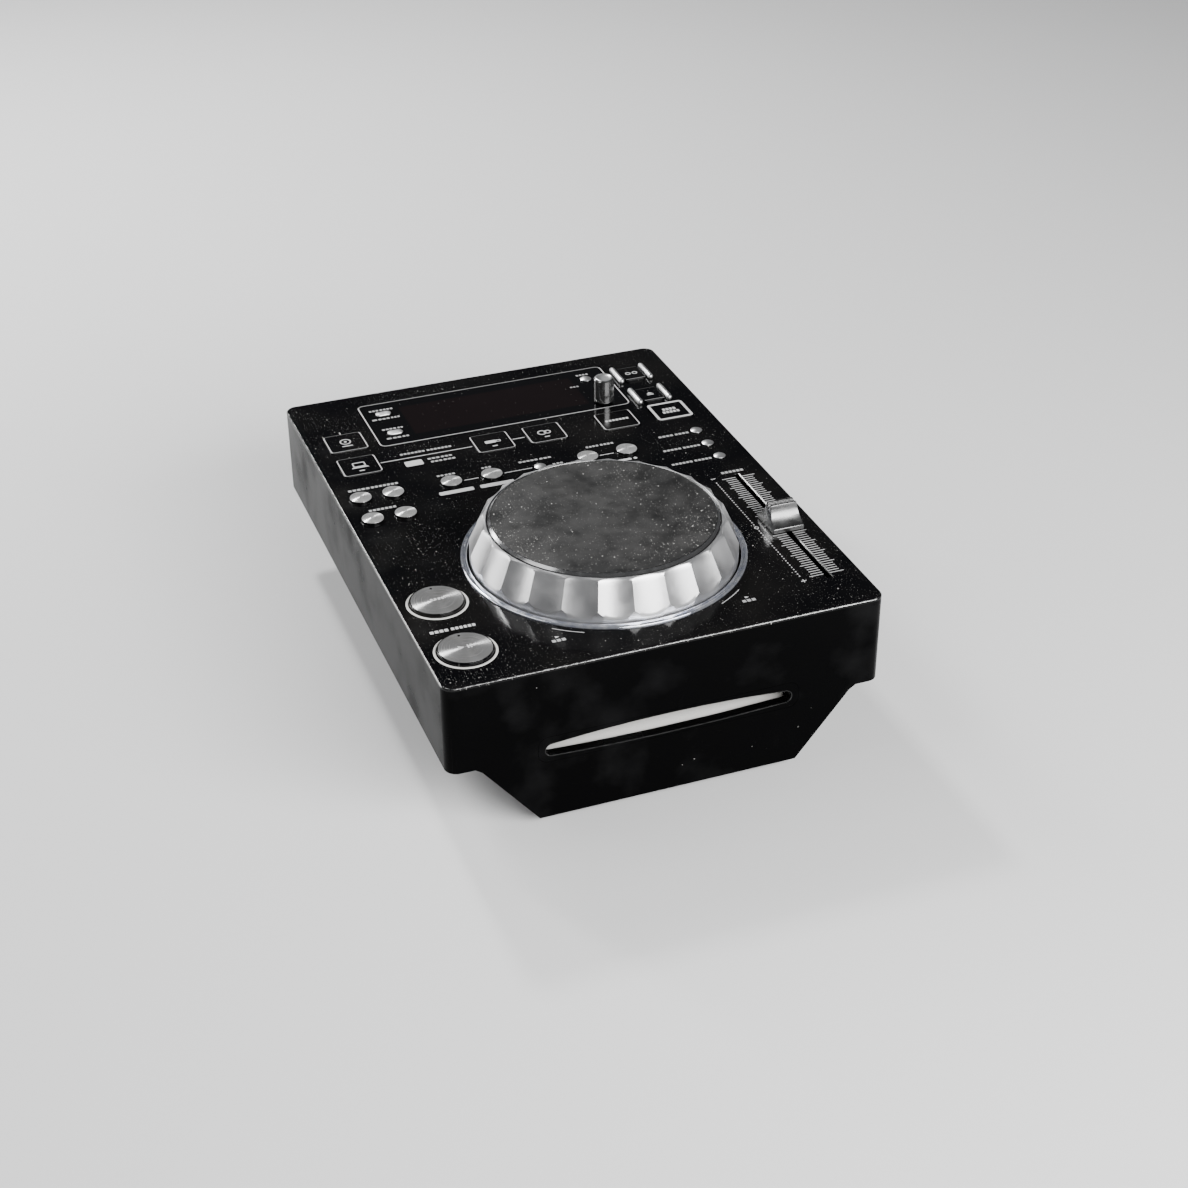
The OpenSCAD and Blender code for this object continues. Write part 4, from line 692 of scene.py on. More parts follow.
# %% [markdown]
# ## The dial's flutes
#
# The dial is the piece everybody looks at: a silver cone with 24 hollow flutes. It could be modelled
# flute by flute, but its shape follows one rule. A straight round cutter leans with the cone and takes a
# bite at each step of the turn, so at any angle and height the surface is either the plain cylinder or
# the cutter's round, whichever is nearer the axis. Geometry Nodes evaluate that rule on a grid whose
# columns fall on the ridges and whose rows start where the flute runs out, so ridges stay crisp. The
# dial's middle is taken from the round touch plate, because the flutes make the dial's own box lopsided.

# %% Node tree of the flutes
FLUTES = 24
FLUTE_TURN = -0.8
FLUTE_COLUMNS = 10
FLUTE_ROWS = 14
CUTTER = 32.0
DISC_LOW, DISC_HIGH = span("jog_plate")
DIAL_LEFT, DIAL_RIGHT = span("jog_dial")
DIAL_X, _, DIAL_LOW, DIAL_HIGH = spot("jog_dial")
DIAL_Y = (DISC_LOW.y + DISC_HIGH.y)/2
FOOT_R = (DIAL_RIGHT.x - DIAL_LEFT.x)/2
FLUTE_IN = 7.8
FLUTE_LOW = PANEL + 2.0
FLUTE_LEAN = math.atan(FLUTE_IN/(DIAL_HIGH - FLUTE_LOW))


def new_tree(name, inputs):
    """Empty Geometry Nodes tree with named inputs. Returns it with the group's input and output nodes."""
    tree = bpy.data.node_groups.new(name, "GeometryNodeTree")
    tree.interface.new_socket("Geometry", in_out="OUTPUT", socket_type="NodeSocketGeometry")
    for label, kind in inputs:
        tree.interface.new_socket(label, in_out="INPUT", socket_type="NodeSocket" + kind)
    return tree, tree.nodes.new("NodeGroupInput").outputs, tree.nodes.new("NodeGroupOutput").inputs


def deliver(tree, geometry, material, output):
    """End a tree: instances become real, then the material is set."""
    real = node(tree, "GeometryNodeRealizeInstances", {"Geometry": geometry}).outputs[0]
    painted = node(tree, "GeometryNodeSetMaterial", {"Geometry": real, "Material": material}).outputs[0]
    tree.links.new(painted, output["Geometry"])


def grow(name, tree, values):
    """Run a tree with the given inputs and return the plain mesh that it makes."""
    host = bpy.data.objects.new(name, bpy.data.meshes.new(name))
    bpy.context.scene.collection.objects.link(host)
    modifier = host.modifiers.new("grow", "NODES")
    modifier.node_group = tree
    for item in tree.interface.items_tree:
        if item.item_type == "SOCKET" and item.in_out == "INPUT":
            modifier[item.identifier] = values[item.name]
    grown = host.evaluated_get(bpy.context.evaluated_depsgraph_get())
    mesh = bpy.data.meshes.new_from_object(grown)
    bpy.data.objects.remove(host)
    return mesh


def math_of(tree):
    """Short names for the sums of a tree."""
    def make(operation):
        return lambda first, second=0.0, third=0.0: calc(tree, operation, first, second, third)
    names = ("ADD", "SUBTRACT", "MULTIPLY", "DIVIDE", "MULTIPLY_ADD", "SINE", "COSINE", "SQRT", "FRACT",
             "MINIMUM", "MAXIMUM", "GREATER_THAN", "MODULO", "COMPARE")
    return {name: make(name) for name in names}


def calc_vector(tree, operation, first, second):
    """Sum of two vectors, or a vector times a number."""
    made = node(tree, "ShaderNodeVectorMath", {0: first}, operation=operation)
    if isinstance(second, bpy.types.NodeSocket):
        tree.links.new(second, made.inputs[1])
    else:
        made.inputs["Scale"].default_value = second
    return made.outputs[0]


def flute_tree():
    tree, given, output = new_tree("flutes", [
        ("Flutes", "Int"), ("Columns", "Int"), ("Rows", "Int"), ("Foot Radius", "Float"), ("Cutter", "Float"),
        ("Lean", "Float"), ("Low", "Float"), ("Flute Low", "Float"), ("High", "Float"), ("Turn", "Float"),
        ("Centre", "Vector"), ("Material", "Material")])
    m = math_of(tree)
    across = m["MULTIPLY_ADD"](given["Flutes"], given["Columns"], 1.0)
    grid = node(tree, "GeometryNodeMeshGrid", {"Size X": 1.0, "Size Y": 1.0, "Vertices X": across,
                                               "Vertices Y": given["Rows"]}).outputs["Mesh"]
    place = node(tree, "GeometryNodeInputPosition").outputs[0]
    on_grid = node(tree, "ShaderNodeSeparateXYZ", {"Vector": place}).outputs
    turn_share = m["ADD"](on_grid[0], 0.5)
    height_share = m["ADD"](on_grid[1], 0.5)
    pitch = m["DIVIDE"](2*math.pi, given["Flutes"])
    within = m["FRACT"](m["MULTIPLY_ADD"](turn_share, given["Flutes"], 1e-4))
    off = m["MULTIPLY"](m["SUBTRACT"](within, 0.5), pitch)
    sine, cosine = m["SINE"](off), m["COSINE"](off)
    lean_cos, lean_sin = m["COSINE"](given["Lean"]), m["SINE"](given["Lean"])
    cutter2 = m["MULTIPLY"](given["Cutter"], given["Cutter"])
    side = m["MULTIPLY"](given["Foot Radius"], sine)
    reach = m["SUBTRACT"](given["Cutter"], m["SQRT"](m["SUBTRACT"](cutter2, m["MULTIPLY"](side, side))))
    back = m["MULTIPLY"](m["MULTIPLY"](given["Foot Radius"], m["SUBTRACT"](1.0, cosine)), lean_cos)
    run_out = m["ADD"](given["Flute Low"], m["DIVIDE"](m["ADD"](reach, back), lean_sin))
    first_row = m["DIVIDE"](1.0, m["SUBTRACT"](given["Rows"], 1.0))
    below = m["MINIMUM"](m["DIVIDE"](height_share, first_row), 1.0)
    above_first = m["SUBTRACT"](height_share, first_row)
    over = m["MAXIMUM"](m["DIVIDE"](above_first, m["SUBTRACT"](1.0, first_row)), 0.0)
    foot_part = m["MULTIPLY"](below, m["SUBTRACT"](run_out, given["Low"]))
    flute_part = m["MULTIPLY"](over, m["SUBTRACT"](given["High"], run_out))
    z = m["ADD"](given["Low"], m["ADD"](foot_part, flute_part))
    a = m["MULTIPLY"](cosine, lean_cos)
    rise = m["MULTIPLY"](m["SUBTRACT"](z, given["Flute Low"]), lean_sin)
    c = m["SUBTRACT"](m["SUBTRACT"](rise, m["MULTIPLY"](given["Foot Radius"], lean_cos)), given["Cutter"])
    square = m["ADD"](m["MULTIPLY"](a, a), m["MULTIPLY"](sine, sine))
    rest = m["MULTIPLY"](square, m["SUBTRACT"](m["MULTIPLY"](c, c), cutter2))
    both = m["MULTIPLY"](m["MULTIPLY"](a, a), m["MULTIPLY"](c, c))
    root = m["SQRT"](m["MAXIMUM"](m["SUBTRACT"](both, rest), 0.0))
    bite = m["DIVIDE"](m["SUBTRACT"](m["MULTIPLY"](m["MULTIPLY"](a, c), -1.0), root), square)
    fluted = m["GREATER_THAN"](over, 0.0)
    cut = m["MINIMUM"](given["Foot Radius"], bite)
    radius = m["ADD"](given["Foot Radius"], m["MULTIPLY"](fluted, m["SUBTRACT"](cut, given["Foot Radius"])))
    angle = m["ADD"](m["MULTIPLY_ADD"](turn_share, 2*math.pi, given["Turn"]), m["MULTIPLY"](pitch, -0.5))
    x, y = m["MULTIPLY"](radius, m["COSINE"](angle)), m["MULTIPLY"](radius, m["SINE"](angle))
    around = node(tree, "ShaderNodeCombineXYZ", {"X": x, "Y": y, "Z": z}).outputs[0]
    metres = calc_vector(tree, "SCALE", calc_vector(tree, "ADD", around, given["Centre"]), MM)
    placed = node(tree, "GeometryNodeSetPosition", {"Geometry": grid, "Position": metres}).outputs[0]
    joined = node(tree, "GeometryNodeMergeByDistance", {"Geometry": placed, "Distance": 1e-6}).outputs[0]
    deliver(tree, joined, given["Material"], output)
    return tree


dial_skin = grow("dial_skin", flute_tree(), {
    "Flutes": FLUTES, "Columns": FLUTE_COLUMNS, "Rows": FLUTE_ROWS, "Foot Radius": FOOT_R, "Cutter": CUTTER,
    "Lean": FLUTE_LEAN, "Low": DIAL_LOW, "Flute Low": FLUTE_LOW, "High": DIAL_HIGH,
    "Turn": math.radians(FLUTE_TURN), "Centre": (DIAL_X, DIAL_Y, 0.0), "Material": SILVER_PAINT})
print("dial skin:", len(dial_skin.vertices), "points")

# %% [markdown]
# ## Closing the dial
#
# The tree gives the outside only. The top edge is drawn inwards over a small chamfer and a flat rim and
# down into the recess that holds the touch plate, and the foot is closed with the skirt, the web and the
# hub that carry the dial on its spindle. Each step is one more loop, drawn from the edge of the last.

# %% Rim, recess and skirt of the dial
PLATE_R = (DISC_HIGH.x - DISC_LOW.x)/2
RECESS_R = PLATE_R + 0.7
WEB_HIGH = DIAL_HIGH - 4.9
WEB_LOW = WEB_HIGH - 2.5
HUB_LOW = PANEL + 1.3
CUP_LOW = WEB_HIGH - 7.5
BOSS_HIGH = WEB_HIGH + 1.5
BORE_R, BOSS_R, HUB_R, CUP_R = 4.05, 7.0, 8.0, 10.0
SKIRT_R = FOOT_R - 11.4
RIM_CUT, RIM_DROP, FOOT_CUT = 0.3, 0.25, 0.3


def open_loop(shape, highest):
    """Border edges of an open skin, at its top or at its foot."""
    border = [e for e in shape.edges if e.is_boundary]
    middle = sum((v.co.z for e in border for v in e.verts))/(2*len(border))
    return [e for e in border if (e.verts[0].co.z > middle) == highest]


def draw_in(shape, edges, place):
    """Extrude a border loop and move each new point to place(radius, level), in millimetres."""
    made = bmesh.ops.extrude_edge_only(shape, edges=edges)["geom"]
    points = [g for g in made if isinstance(g, bmesh.types.BMVert)]
    for point in points:
        x, y = point.co.x/MM - DIAL_X, point.co.y/MM - DIAL_Y
        radius, z = place(math.hypot(x, y), point.co.z/MM)
        angle = math.atan2(y, x)
        point.co = Vector((DIAL_X + radius*math.cos(angle), DIAL_Y + radius*math.sin(angle), z))*MM
    fresh = set(points)
    return [e for e in made if isinstance(e, bmesh.types.BMEdge) and all(v in fresh for v in e.verts)]


def close_dial():
    shape = bmesh.new()
    shape.from_mesh(dial_skin)
    edge, foot = open_loop(shape, True), open_loop(shape, False)
    for border, shift in ((edge, -RIM_DROP), (foot, FOOT_CUT)):
        for v in {v for e in border for v in e.verts}:
            v.co.z += shift*MM
    edge = draw_in(shape, edge, lambda r, z: (r - RIM_CUT, DIAL_HIGH))
    for step in ((RECESS_R + 0.2, DIAL_HIGH), (RECESS_R, DIAL_HIGH - 0.2), (RECESS_R, WEB_HIGH),
                 (BOSS_R, WEB_HIGH), (BOSS_R, BOSS_HIGH), (BORE_R, BOSS_HIGH)):
        edge = draw_in(shape, edge, lambda r, z: step)
    for step in ((FOOT_R - FOOT_CUT, DIAL_LOW), (SKIRT_R, DIAL_LOW), (SKIRT_R, WEB_LOW), (CUP_R, WEB_LOW),
                 (CUP_R, CUP_LOW), (HUB_R, CUP_LOW), (HUB_R, HUB_LOW), (BORE_R, HUB_LOW),
                 (BORE_R, BOSS_HIGH)):
        foot = draw_in(shape, foot, lambda r, z: step)
    bmesh.ops.remove_doubles(shape, verts=shape.verts, dist=5e-6)
    return shape


dial = piece("fluted_dial", close_dial(), "jog_wheel", [SILVER_PAINT], ["jog_dial"], 28)
print("dial faces:", len(dial.data.polygons))


# %% [markdown]
# ## Touch plate and collar
#
# The touch plate is a dark, matt, anodised disc that shows every speck of dust and the cloudy marks of
# hands, with a polished bevel and a bright narrow lip round it. The collar is a clear moulded ring that is
# bright where it faces the lamps. Both are turned profiles, one skin each.

# %% Touch plate and collar
TOUCH_DUST = ((1.0, 0.17, 0.45, 0.32), (2.0, 0.27, 0.45, 0.70), (5.0, 0.42, 0.50, 1.0))


def touch_grey():
    material, tree, shader = finish("touch_grey", (0.032, 0.032, 0.033), 0.42, 0.25)
    place = here(tree, (DIAL_X, DIAL_Y, 0))
    marks = calc(tree, "MULTIPLY_ADD", cloud(tree, place, 7, 8), 0.4, cloud(tree, place, 30, 8))
    colour = blend(tree, remap(tree, marks, 0.55, 0.95), (0.010, 0.010, 0.010), (0.042, 0.041, 0.040))
    rough = remap(tree, cloud(tree, place, 14, 6), 0.35, 0.7, 0.36, 0.58)
    dusty(tree, shader, colour, rough, dust_layers(tree, TOUCH_DUST), 0.95, (0.60, 0.59, 0.57))
    relief(tree, shader, cloud(tree, place, 0.35, 2), 0.006, 0.4)
    return material


def bevel_grey():
    material, tree, shader = finish("bevel_grey", (0.24, 0.24, 0.245), 0.12, 0.9)
    shade = cloud(tree, here(tree), 6, 4)
    feed(shader, blend(tree, shade, (0.18, 0.18, 0.185), (0.30, 0.30, 0.30)),
         patches(tree, 4, 4, 0.4, 0.7, 0.12, 0.24))
    return material


TOUCH_GREY = touch_grey()
BEVEL_GREY = bevel_grey()
TOUCH_LOW, TOUCH_HIGH = DISC_LOW.z, DISC_HIGH.z
PLATE_UNDER = TOUCH_HIGH - 2.0
PIN_R, FOOT_IN_R, FOOT_OUT_R = 0.5, 7.1, 10.0
BEVEL_W, BEVEL_H, LIP_W, LIP_H, CRISP = 1.35, 1.1, 0.35, 0.12, 0.06
UNDER_BANDS, LIP_BANDS, TOP_BANDS = 8, 3, 4

lip_out = PLATE_R - BEVEL_W
lip_in = lip_out - LIP_W
profile = [(PIN_R, PLATE_UNDER), (FOOT_IN_R, PLATE_UNDER), (FOOT_IN_R, TOUCH_LOW), (FOOT_OUT_R, TOUCH_LOW),
           (FOOT_OUT_R, PLATE_UNDER), (PLATE_R - 0.15, PLATE_UNDER), (PLATE_R, PLATE_UNDER + 0.15),
           (PLATE_R, TOUCH_HIGH - BEVEL_H), (lip_out, TOUCH_HIGH - 0.05), (lip_out - CRISP, TOUCH_HIGH),
           (lip_in + CRISP, TOUCH_HIGH), (lip_in, TOUCH_HIGH - LIP_H)]
profile += [(r, TOUCH_HIGH - LIP_H) for r in (40.0, 20.0, PIN_R)]
touch = bmesh.new()
skin(touch, turned(DIAL_X, DIAL_Y, profile, 144), [1]*UNDER_BANDS + [2]*LIP_BANDS + [0]*TOP_BANDS)
piece("touch_plate", touch, "touch_plate", [TOUCH_GREY, BEVEL_GREY, CUT_EDGE],
      ["jog_plate"])

COLLAR_LEFT, COLLAR_RIGHT = span("jog_collar")
COLLAR_R = (COLLAR_RIGHT.x - COLLAR_LEFT.x)/2
COLLAR_W, GROOVE_OFF = 3.2, 1.45
GROOVE_HIGH, GROOVE_LOW = PANEL + 1.0, PANEL + 0.7
inner = COLLAR_R - COLLAR_W
groove = inner + GROOVE_OFF
profile = [(inner + 1.2, PLATE_LOW.z), (inner + 1.2, PANEL), (COLLAR_R, PANEL), (COLLAR_R, PANEL + 0.35)]
profile += arc(COLLAR_R - 0.65, PANEL + 0.35, 0.65, 0, 90, 5)[1:]
profile += [(groove + 0.22, GROOVE_HIGH), (groove + 0.16, GROOVE_LOW), (groove - 0.16, GROOVE_LOW),
            (groove - 0.22, GROOVE_HIGH)]
profile += arc(inner + 0.5, PANEL + 0.5, 0.5, 90, 180, 4) + [(inner, PLATE_LOW.z)]
collar = bmesh.new()
tube(collar, turned(DIAL_X, DIAL_Y, profile, 160), [0]*len(profile))
piece("clear_collar", collar, "case", [CLEAR_RING], ["jog_collar"])
print("touch plate radius", round(PLATE_R, 1), "collar radius", round(COLLAR_R, 1))


# %% [markdown]
# ## Printed and raised marks
#
# The panel carries icons, lines and bars in light ink. A print is modelled as a film a few hundredths of
# a millimetre thick, so that it survives on any renderer. `film` lays one closed outline, and `band` lays
# a closed line of a given width. Words are only stood for by rows of plain blocks.

# %% Helpers for prints
FILM, SUNK = 0.04, 0.02


def film(shape, outline, level, paint=0):
    """Thin closed slab over an outline of (x, y) points."""
    low = [shape.verts.new(Vector((x, y, level - SUNK))*MM) for x, y in outline]
    high = [shape.verts.new(Vector((x, y, level + FILM))*MM) for x, y in outline]
    count = len(outline)
    faces = [shape.faces.new(high), shape.faces.new(list(reversed(low)))]
    for i in range(count):
        j = (i + 1) % count
        faces.append(shape.faces.new((low[i], low[j], high[j], high[i])))
    for face in faces:
        face.material_index = paint


def band(shape, outer, inner, level, paint=0):
    """Thin closed ring between two outlines of equal count."""
    low, high = level - SUNK, level + FILM
    rings = [[shape.verts.new(Vector((x, y, z))*MM) for x, y in outline]
             for outline, z in ((outer, low), (outer, high), (inner, high), (inner, low))]
    rings.append(rings[0])
    count = len(outer)
    for near, far in zip(rings, rings[1:]):
        for i in range(count):
            j = (i + 1) % count
            shape.faces.new((near[i], near[j], far[j], far[i])).material_index = paint


def flat(loop):
    return [(p.x, p.y) for p in loop]


def box_outline(x, y, width, depth, radius=0.0):
    if radius:
        return flat(rounded(x, y, width, depth, radius, 0, 4))
    return [(x + sx*width/2, y + sy*depth/2) for sx, sy in ((1, 1), (-1, 1), (-1, -1), (1, -1))]


def frame_line(shape, x, y, width, depth, radius, line, level, paint=0, rear=None, front=None):
    """Rounded rectangle drawn as a line; width and depth are its outer sizes. Its rear and its front
    side may have a finish of their own: a darker ink that paints the shade on lines that catch less light
    than the sides."""
    outer = flat(rounded(x, y, width, depth, radius, 0))
    inner = flat(rounded(x, y, width - 2*line, depth - 2*line, radius - line, 0))
    known = set(shape.faces)
    band(shape, outer, inner, level, paint)
    reach = depth/2 - max(line, radius*0.45)
    for face in shape.faces:
        if face in known:
            continue
        off = face.calc_center_median().y/MM - y
        if rear is not None and off > reach:
            face.material_index = rear
        if front is not None and off < -reach:
            face.material_index = front


def hoop(shape, x, y, radius, line, level, paint=0, count=32):
    outer, inner = (flat(circle(x, y, r, 0, count)) for r in (radius, radius - line))
    band(shape, outer, inner, level, paint)


def dot(shape, x, y, radius, level, paint=0):
    film(shape, flat(circle(x, y, radius, 0, 16)), level, paint)


def stroke(shape, start, end, width, level, paint=0):
    """Straight line between two points."""
    a, b = Vector(start), Vector(end)
    side = (b - a).normalized().orthogonal()*width/2
    film(shape, [tuple(a - side), tuple(b - side), tuple(b + side), tuple(a + side)], level, paint)


# %% [markdown]
# ## Icons
#
# Every icon is a few films: a disc, a plain computer, a plain memory stick, a link of two rings, a play
# triangle with two bars. They are common signs of the trade, drawn here from scratch, in millimetres from
# the middle of the key.

# %% Icons
def disc_icon(shape, x, y, level, paint):
    hoop(shape, x, y + 0.6, 2.3, 0.45, level, paint)
    dot(shape, x, y + 0.6, 0.6, level, paint)
    film(shape, box_outline(x, y - 3.2, 4.4, 0.6), level, paint)


def computer_icon(shape, x, y, level, paint):
    frame_line(shape, x, y + 0.9, 5.2, 3.6, 0.5, 0.45, level, paint)
    foot = [(x + 3.6, y - 1.9), (x + 3.0, y - 1.1), (x - 3.0, y - 1.1), (x - 3.6, y - 1.9)]
    film(shape, foot, level, paint)
    film(shape, box_outline(x, y - 4.4, 2.2, 0.6), level, paint)


def stick_icon(shape, x, y, level, paint):
    film(shape, box_outline(x - 0.8, y + 0.3, 4.6, 2.2, 0.5), level, paint)
    frame_line(shape, x + 2.6, y + 0.3, 2.0, 1.6, 0.2, 0.35, level, paint)
    film(shape, box_outline(x, y - 3.6, 2.2, 0.6), level, paint)


def link_icon(shape, x, y, level, paint):
    hoop(shape, x - 1.1, y + 0.3, 1.9, 0.45, level, paint)
    hoop(shape, x + 1.3, y + 0.3, 1.5, 0.45, level, paint)
    film(shape, box_outline(x, y - 3.6, 2.2, 0.6), level, paint)


BLOCK_PITCH, BLOCK_GAP, BLOCK_ROW = 1.6, 0.45, 1.3


def bars_icon(shape, x, y, level, paint, widths, height):
    """Rows of small blocks, where a key has words."""
    for i, width in enumerate(widths):
        count = round(width/BLOCK_PITCH)
        row = y + (len(widths) - 1 - 2*i)*BLOCK_ROW
        for k in range(count):
            at = x + (k - (count - 1)/2)*width/count
            film(shape, box_outline(at, row, width/count - BLOCK_GAP, height), level, paint)


def play_icon(shape, x, y, level, paint):
    film(shape, [(x - 0.6, y), (x - 3.4, y + 1.5), (x - 3.4, y - 1.5)], level, paint)
    for step in (1.2, 2.6):
        film(shape, box_outline(x + step, y, 0.8, 2.8), level, paint)


def stop_icon(shape, x, y, level, paint):
    for side in (-1, 1):
        hoop(shape, x + side*2.0, y, 1.55, 0.5, level, paint)


def eject_icon(shape, x, y, level, paint):
    film(shape, [(x, y + 1.7), (x - 1.9, y - 0.3), (x + 1.9, y - 0.3)], level, paint)
    film(shape, box_outline(x, y - 1.3, 3.8, 0.7), level, paint)


# %% [markdown]
# ## Keys
#
# A key is a cap on a stop flange. The flange keeps it in the panel, the cap comes through the hole and
# its top edge is rounded. Each key is a skin over its own stack of loops, so it moves as one piece with
# its print. The round keys have a black body and a metal disc on top. The sizes below are those of the
# caps; the places and levels come from the frame.

# %% Helpers for keys
FLANGE_T = 1.2
LIP = 1.2


def square_cap(shape, name, width, depth, radius, edge):
    """Rounded square key: flange, shaft, rounded edge and a flat top."""
    x, y, low, high = spot(name)
    stop = low + FLANGE_T
    stack = [(width + 2*LIP, depth + 2*LIP, radius, low), (width + 2*LIP, depth + 2*LIP, radius, stop),
             (width, depth, radius, stop), (width, depth, radius, high - edge)]
    for i in range(1, 4):
        angle = math.radians(30*i)
        inset = 2*edge*(1 - math.cos(angle))
        stack.append((width - inset, depth - inset, radius - inset/2, high - edge + edge*math.sin(angle)))
    skin(shape, [rounded(x, y, w, d, r, z) for w, d, r, z in stack])
    return x, y, high


def round_cap(shape, name, radius, metal, rise, ledge, edge, count):
    """Round key: a black body with a rounded ledge, and a domed metal disc that stands on it. The finishes
    are 0 for the metal and 1 for the body; ledge is the ledge's level."""
    x, y, low, high = spot(name)
    rim = high - rise
    profile = [(radius + LIP, low), (radius + LIP, low + FLANGE_T), (radius, low + FLANGE_T),
               (radius, ledge - edge)]
    profile += arc(radius - edge, ledge - edge, edge, 0, 90, 5)[1:]
    profile += [(metal + 0.04, ledge), (metal, ledge - 0.06), (metal, rim - 0.2)]
    body = len(profile) - 1
    profile += [(metal - 0.06, rim - 0.06)] + dome(metal - 0.15, rim - 0.02, rise)
    skin(shape, turned(x, y, profile, count), [1]*body + [0]*(len(profile) - body))
    return x, y, high


def as_cap(name, shape, materials):
    """Finish a key: its cap rides on the key's own body and replaces its node."""
    return piece(name.replace("_key", "_cap"), shape, name, materials, [name])


def dome_level(radius, high, rise, off):
    """Level of a dome at a distance from its middle."""
    ball = (radius*radius + rise*rise)/(2*rise)
    return high - ball + math.sqrt(ball*ball - off*off)


# %% [markdown]
# ## Source keys and their neighbours
#
# These wide keys are gloss black like the panel, so only their printed outline and the light on their
# edges set them off. The outline also carries painted light and shade: its sides are in the light ink,
# its front and rear in darker inks. The pair on the right is one step brighter: the tempo lock has a broad
# outline.

# %% Square keys
SQUARE_W, SQUARE_D, SQUARE_ROUND, SQUARE_EDGE = 21.5, 20.4, 2.5, 0.4
STOP_W, STOP_D = 13.0, 16.0
ICON_SCALE = 1.3
# The third and fourth finishes of a key are painted half light and painted shade, for the front and the rear
# of its outline.
KEY_INKS_AND_PAINTED_LIGHT = [LACQUER, INK, PAINTED_HALF_LIGHT_INK, PAINTED_SHADE_INK]


def square_key(name, icon, line=0.5):
    shape = bmesh.new()
    x, y, high = square_cap(shape, name, SQUARE_W, SQUARE_D, SQUARE_ROUND, SQUARE_EDGE)
    # A thin outline has painted light and shade: light ink on its sides, painted half light on its front and
    # painted shade on its rear. A broad one is light ink all round.
    rear, front = (3, 2) if line < 1 else (1, 1)
    frame_line(shape, x, y, SQUARE_W - 1.0, SQUARE_D - 1.0, 2.0, line, high, 1, rear, front)
    known = set(shape.verts)
    icon(shape, x, y, high, 1)
    middle = Vector((x, y, high))*MM
    for point in set(shape.verts) - known:
        point.co.xy = middle.xy + (point.co.xy - middle.xy)*ICON_SCALE
    keep_level(as_cap(name, shape, KEY_INKS_AND_PAINTED_LIGHT))


square_key("source_disc_key", disc_icon)
square_key("source_computer_key", computer_icon)
square_key("source_stick_key", stick_icon)
square_key("source_link_key", link_icon)
square_key("playlist_key", lambda s, x, y, z, p: bars_icon(s, x, y, z, p, (10.6,), 1.4))
square_key("tempo_lock_key", lambda s, x, y, z, p: bars_icon(s, x, y, z, p, (6.2, 7.8), 1.8), 1.5)

for name, icon in (("stick_stop_key", stop_icon), ("eject_key", eject_icon)):
    shape = bmesh.new()
    x, y, high = square_cap(shape, name, STOP_W, STOP_D, SQUARE_ROUND, SQUARE_EDGE)
    # The two lines along the key's front and rear edges are painted light: the front one in painted half
    # light, the rear one in painted shade.
    film(shape, box_outline(x, y - STOP_D/2 + 1.0, STOP_W - 1.6, 0.5), high, 2)
    film(shape, box_outline(x, y + STOP_D/2 - 0.8, STOP_W - 1.6, 0.4), high, 3)
    icon(shape, x, y, high, 1)
    keep_level(as_cap(name, shape, KEY_INKS_AND_PAINTED_LIGHT))
print("square keys:", 8)

# %% [markdown]
# ## Silver keys
#
# The transport keys carry small turned domes, the keys of the display are oblong, and cue and play carry
# wide spun discs inside a light ring. All take the spun metal, whose grooves follow the wrap map. A body
# is a little wider than its disc, so a dark line runs between the metal and the panel.

# %% Round, oblong and large keys
KEY_R, KEY_METAL, KEY_RISE = 6.25, 5.55, 0.45
MODE_R, MODE_METAL, MODE_RISE = 3.4, 3.2, 0.7
PLAY_R, PLAY_METAL, PLAY_RISE = 13.2, 12.5, 0.4
KEY_LEDGE = PANEL + 0.35
ROUND_KEYS = ("track_back_key", "track_next_key", "search_back_key", "search_next_key",
              "loop_in_key", "loop_out_key", "beat_half_key", "beat_double_key")
MODE_KEYS = ("loop_exit_key", "menu_key", "jog_mode_key", "tempo_range_key", "master_tempo_key")

OBLONG = ((12.4, 8.4, 2.5), (10.0, 6.0, 2.5), (9.7, 5.7, 2.4), (8.6, 4.7, 2.0), (8.5, 4.6, 2.0),
          (8.0, 4.1, 1.8), (6.0, 2.4, 1.1), (2.0, 0.6, 0.3))
MARK_OFF, DOT_IN, DOT_R = 3.4, 2.4, 0.6

for names, sizes, metal in ((ROUND_KEYS, (KEY_R, KEY_METAL, KEY_RISE), TURNED),
                            (MODE_KEYS, (MODE_R, MODE_METAL, MODE_RISE), SATIN_CHROME)):
    for name in names:
        shape = bmesh.new()
        round_cap(shape, name, *sizes, KEY_LEDGE, 0.3, 64)
        as_cap(name, shape, [metal, LACQUER])

for name in ("time_key", "text_key"):
    shape = bmesh.new()
    x, y, low, high = spot(name)
    stop = low + FLANGE_T
    flange, shaft, ledge, *cap = OBLONG
    stack = [(*flange, low), (*flange, stop), (*shaft, stop), (*shaft, KEY_LEDGE - 0.3), (*ledge, KEY_LEDGE),
             (*cap[0], KEY_LEDGE)]
    stack += [(*size, high - drop) for size, drop in zip(cap[1:], (0.5, 0.2, 0.05, 0.0))]
    skin(shape, [rounded(x, y, w, d, r, z) for w, d, r, z in stack], [1]*6 + [0]*4)
    as_cap(name, shape, [SATIN_CHROME, LACQUER])

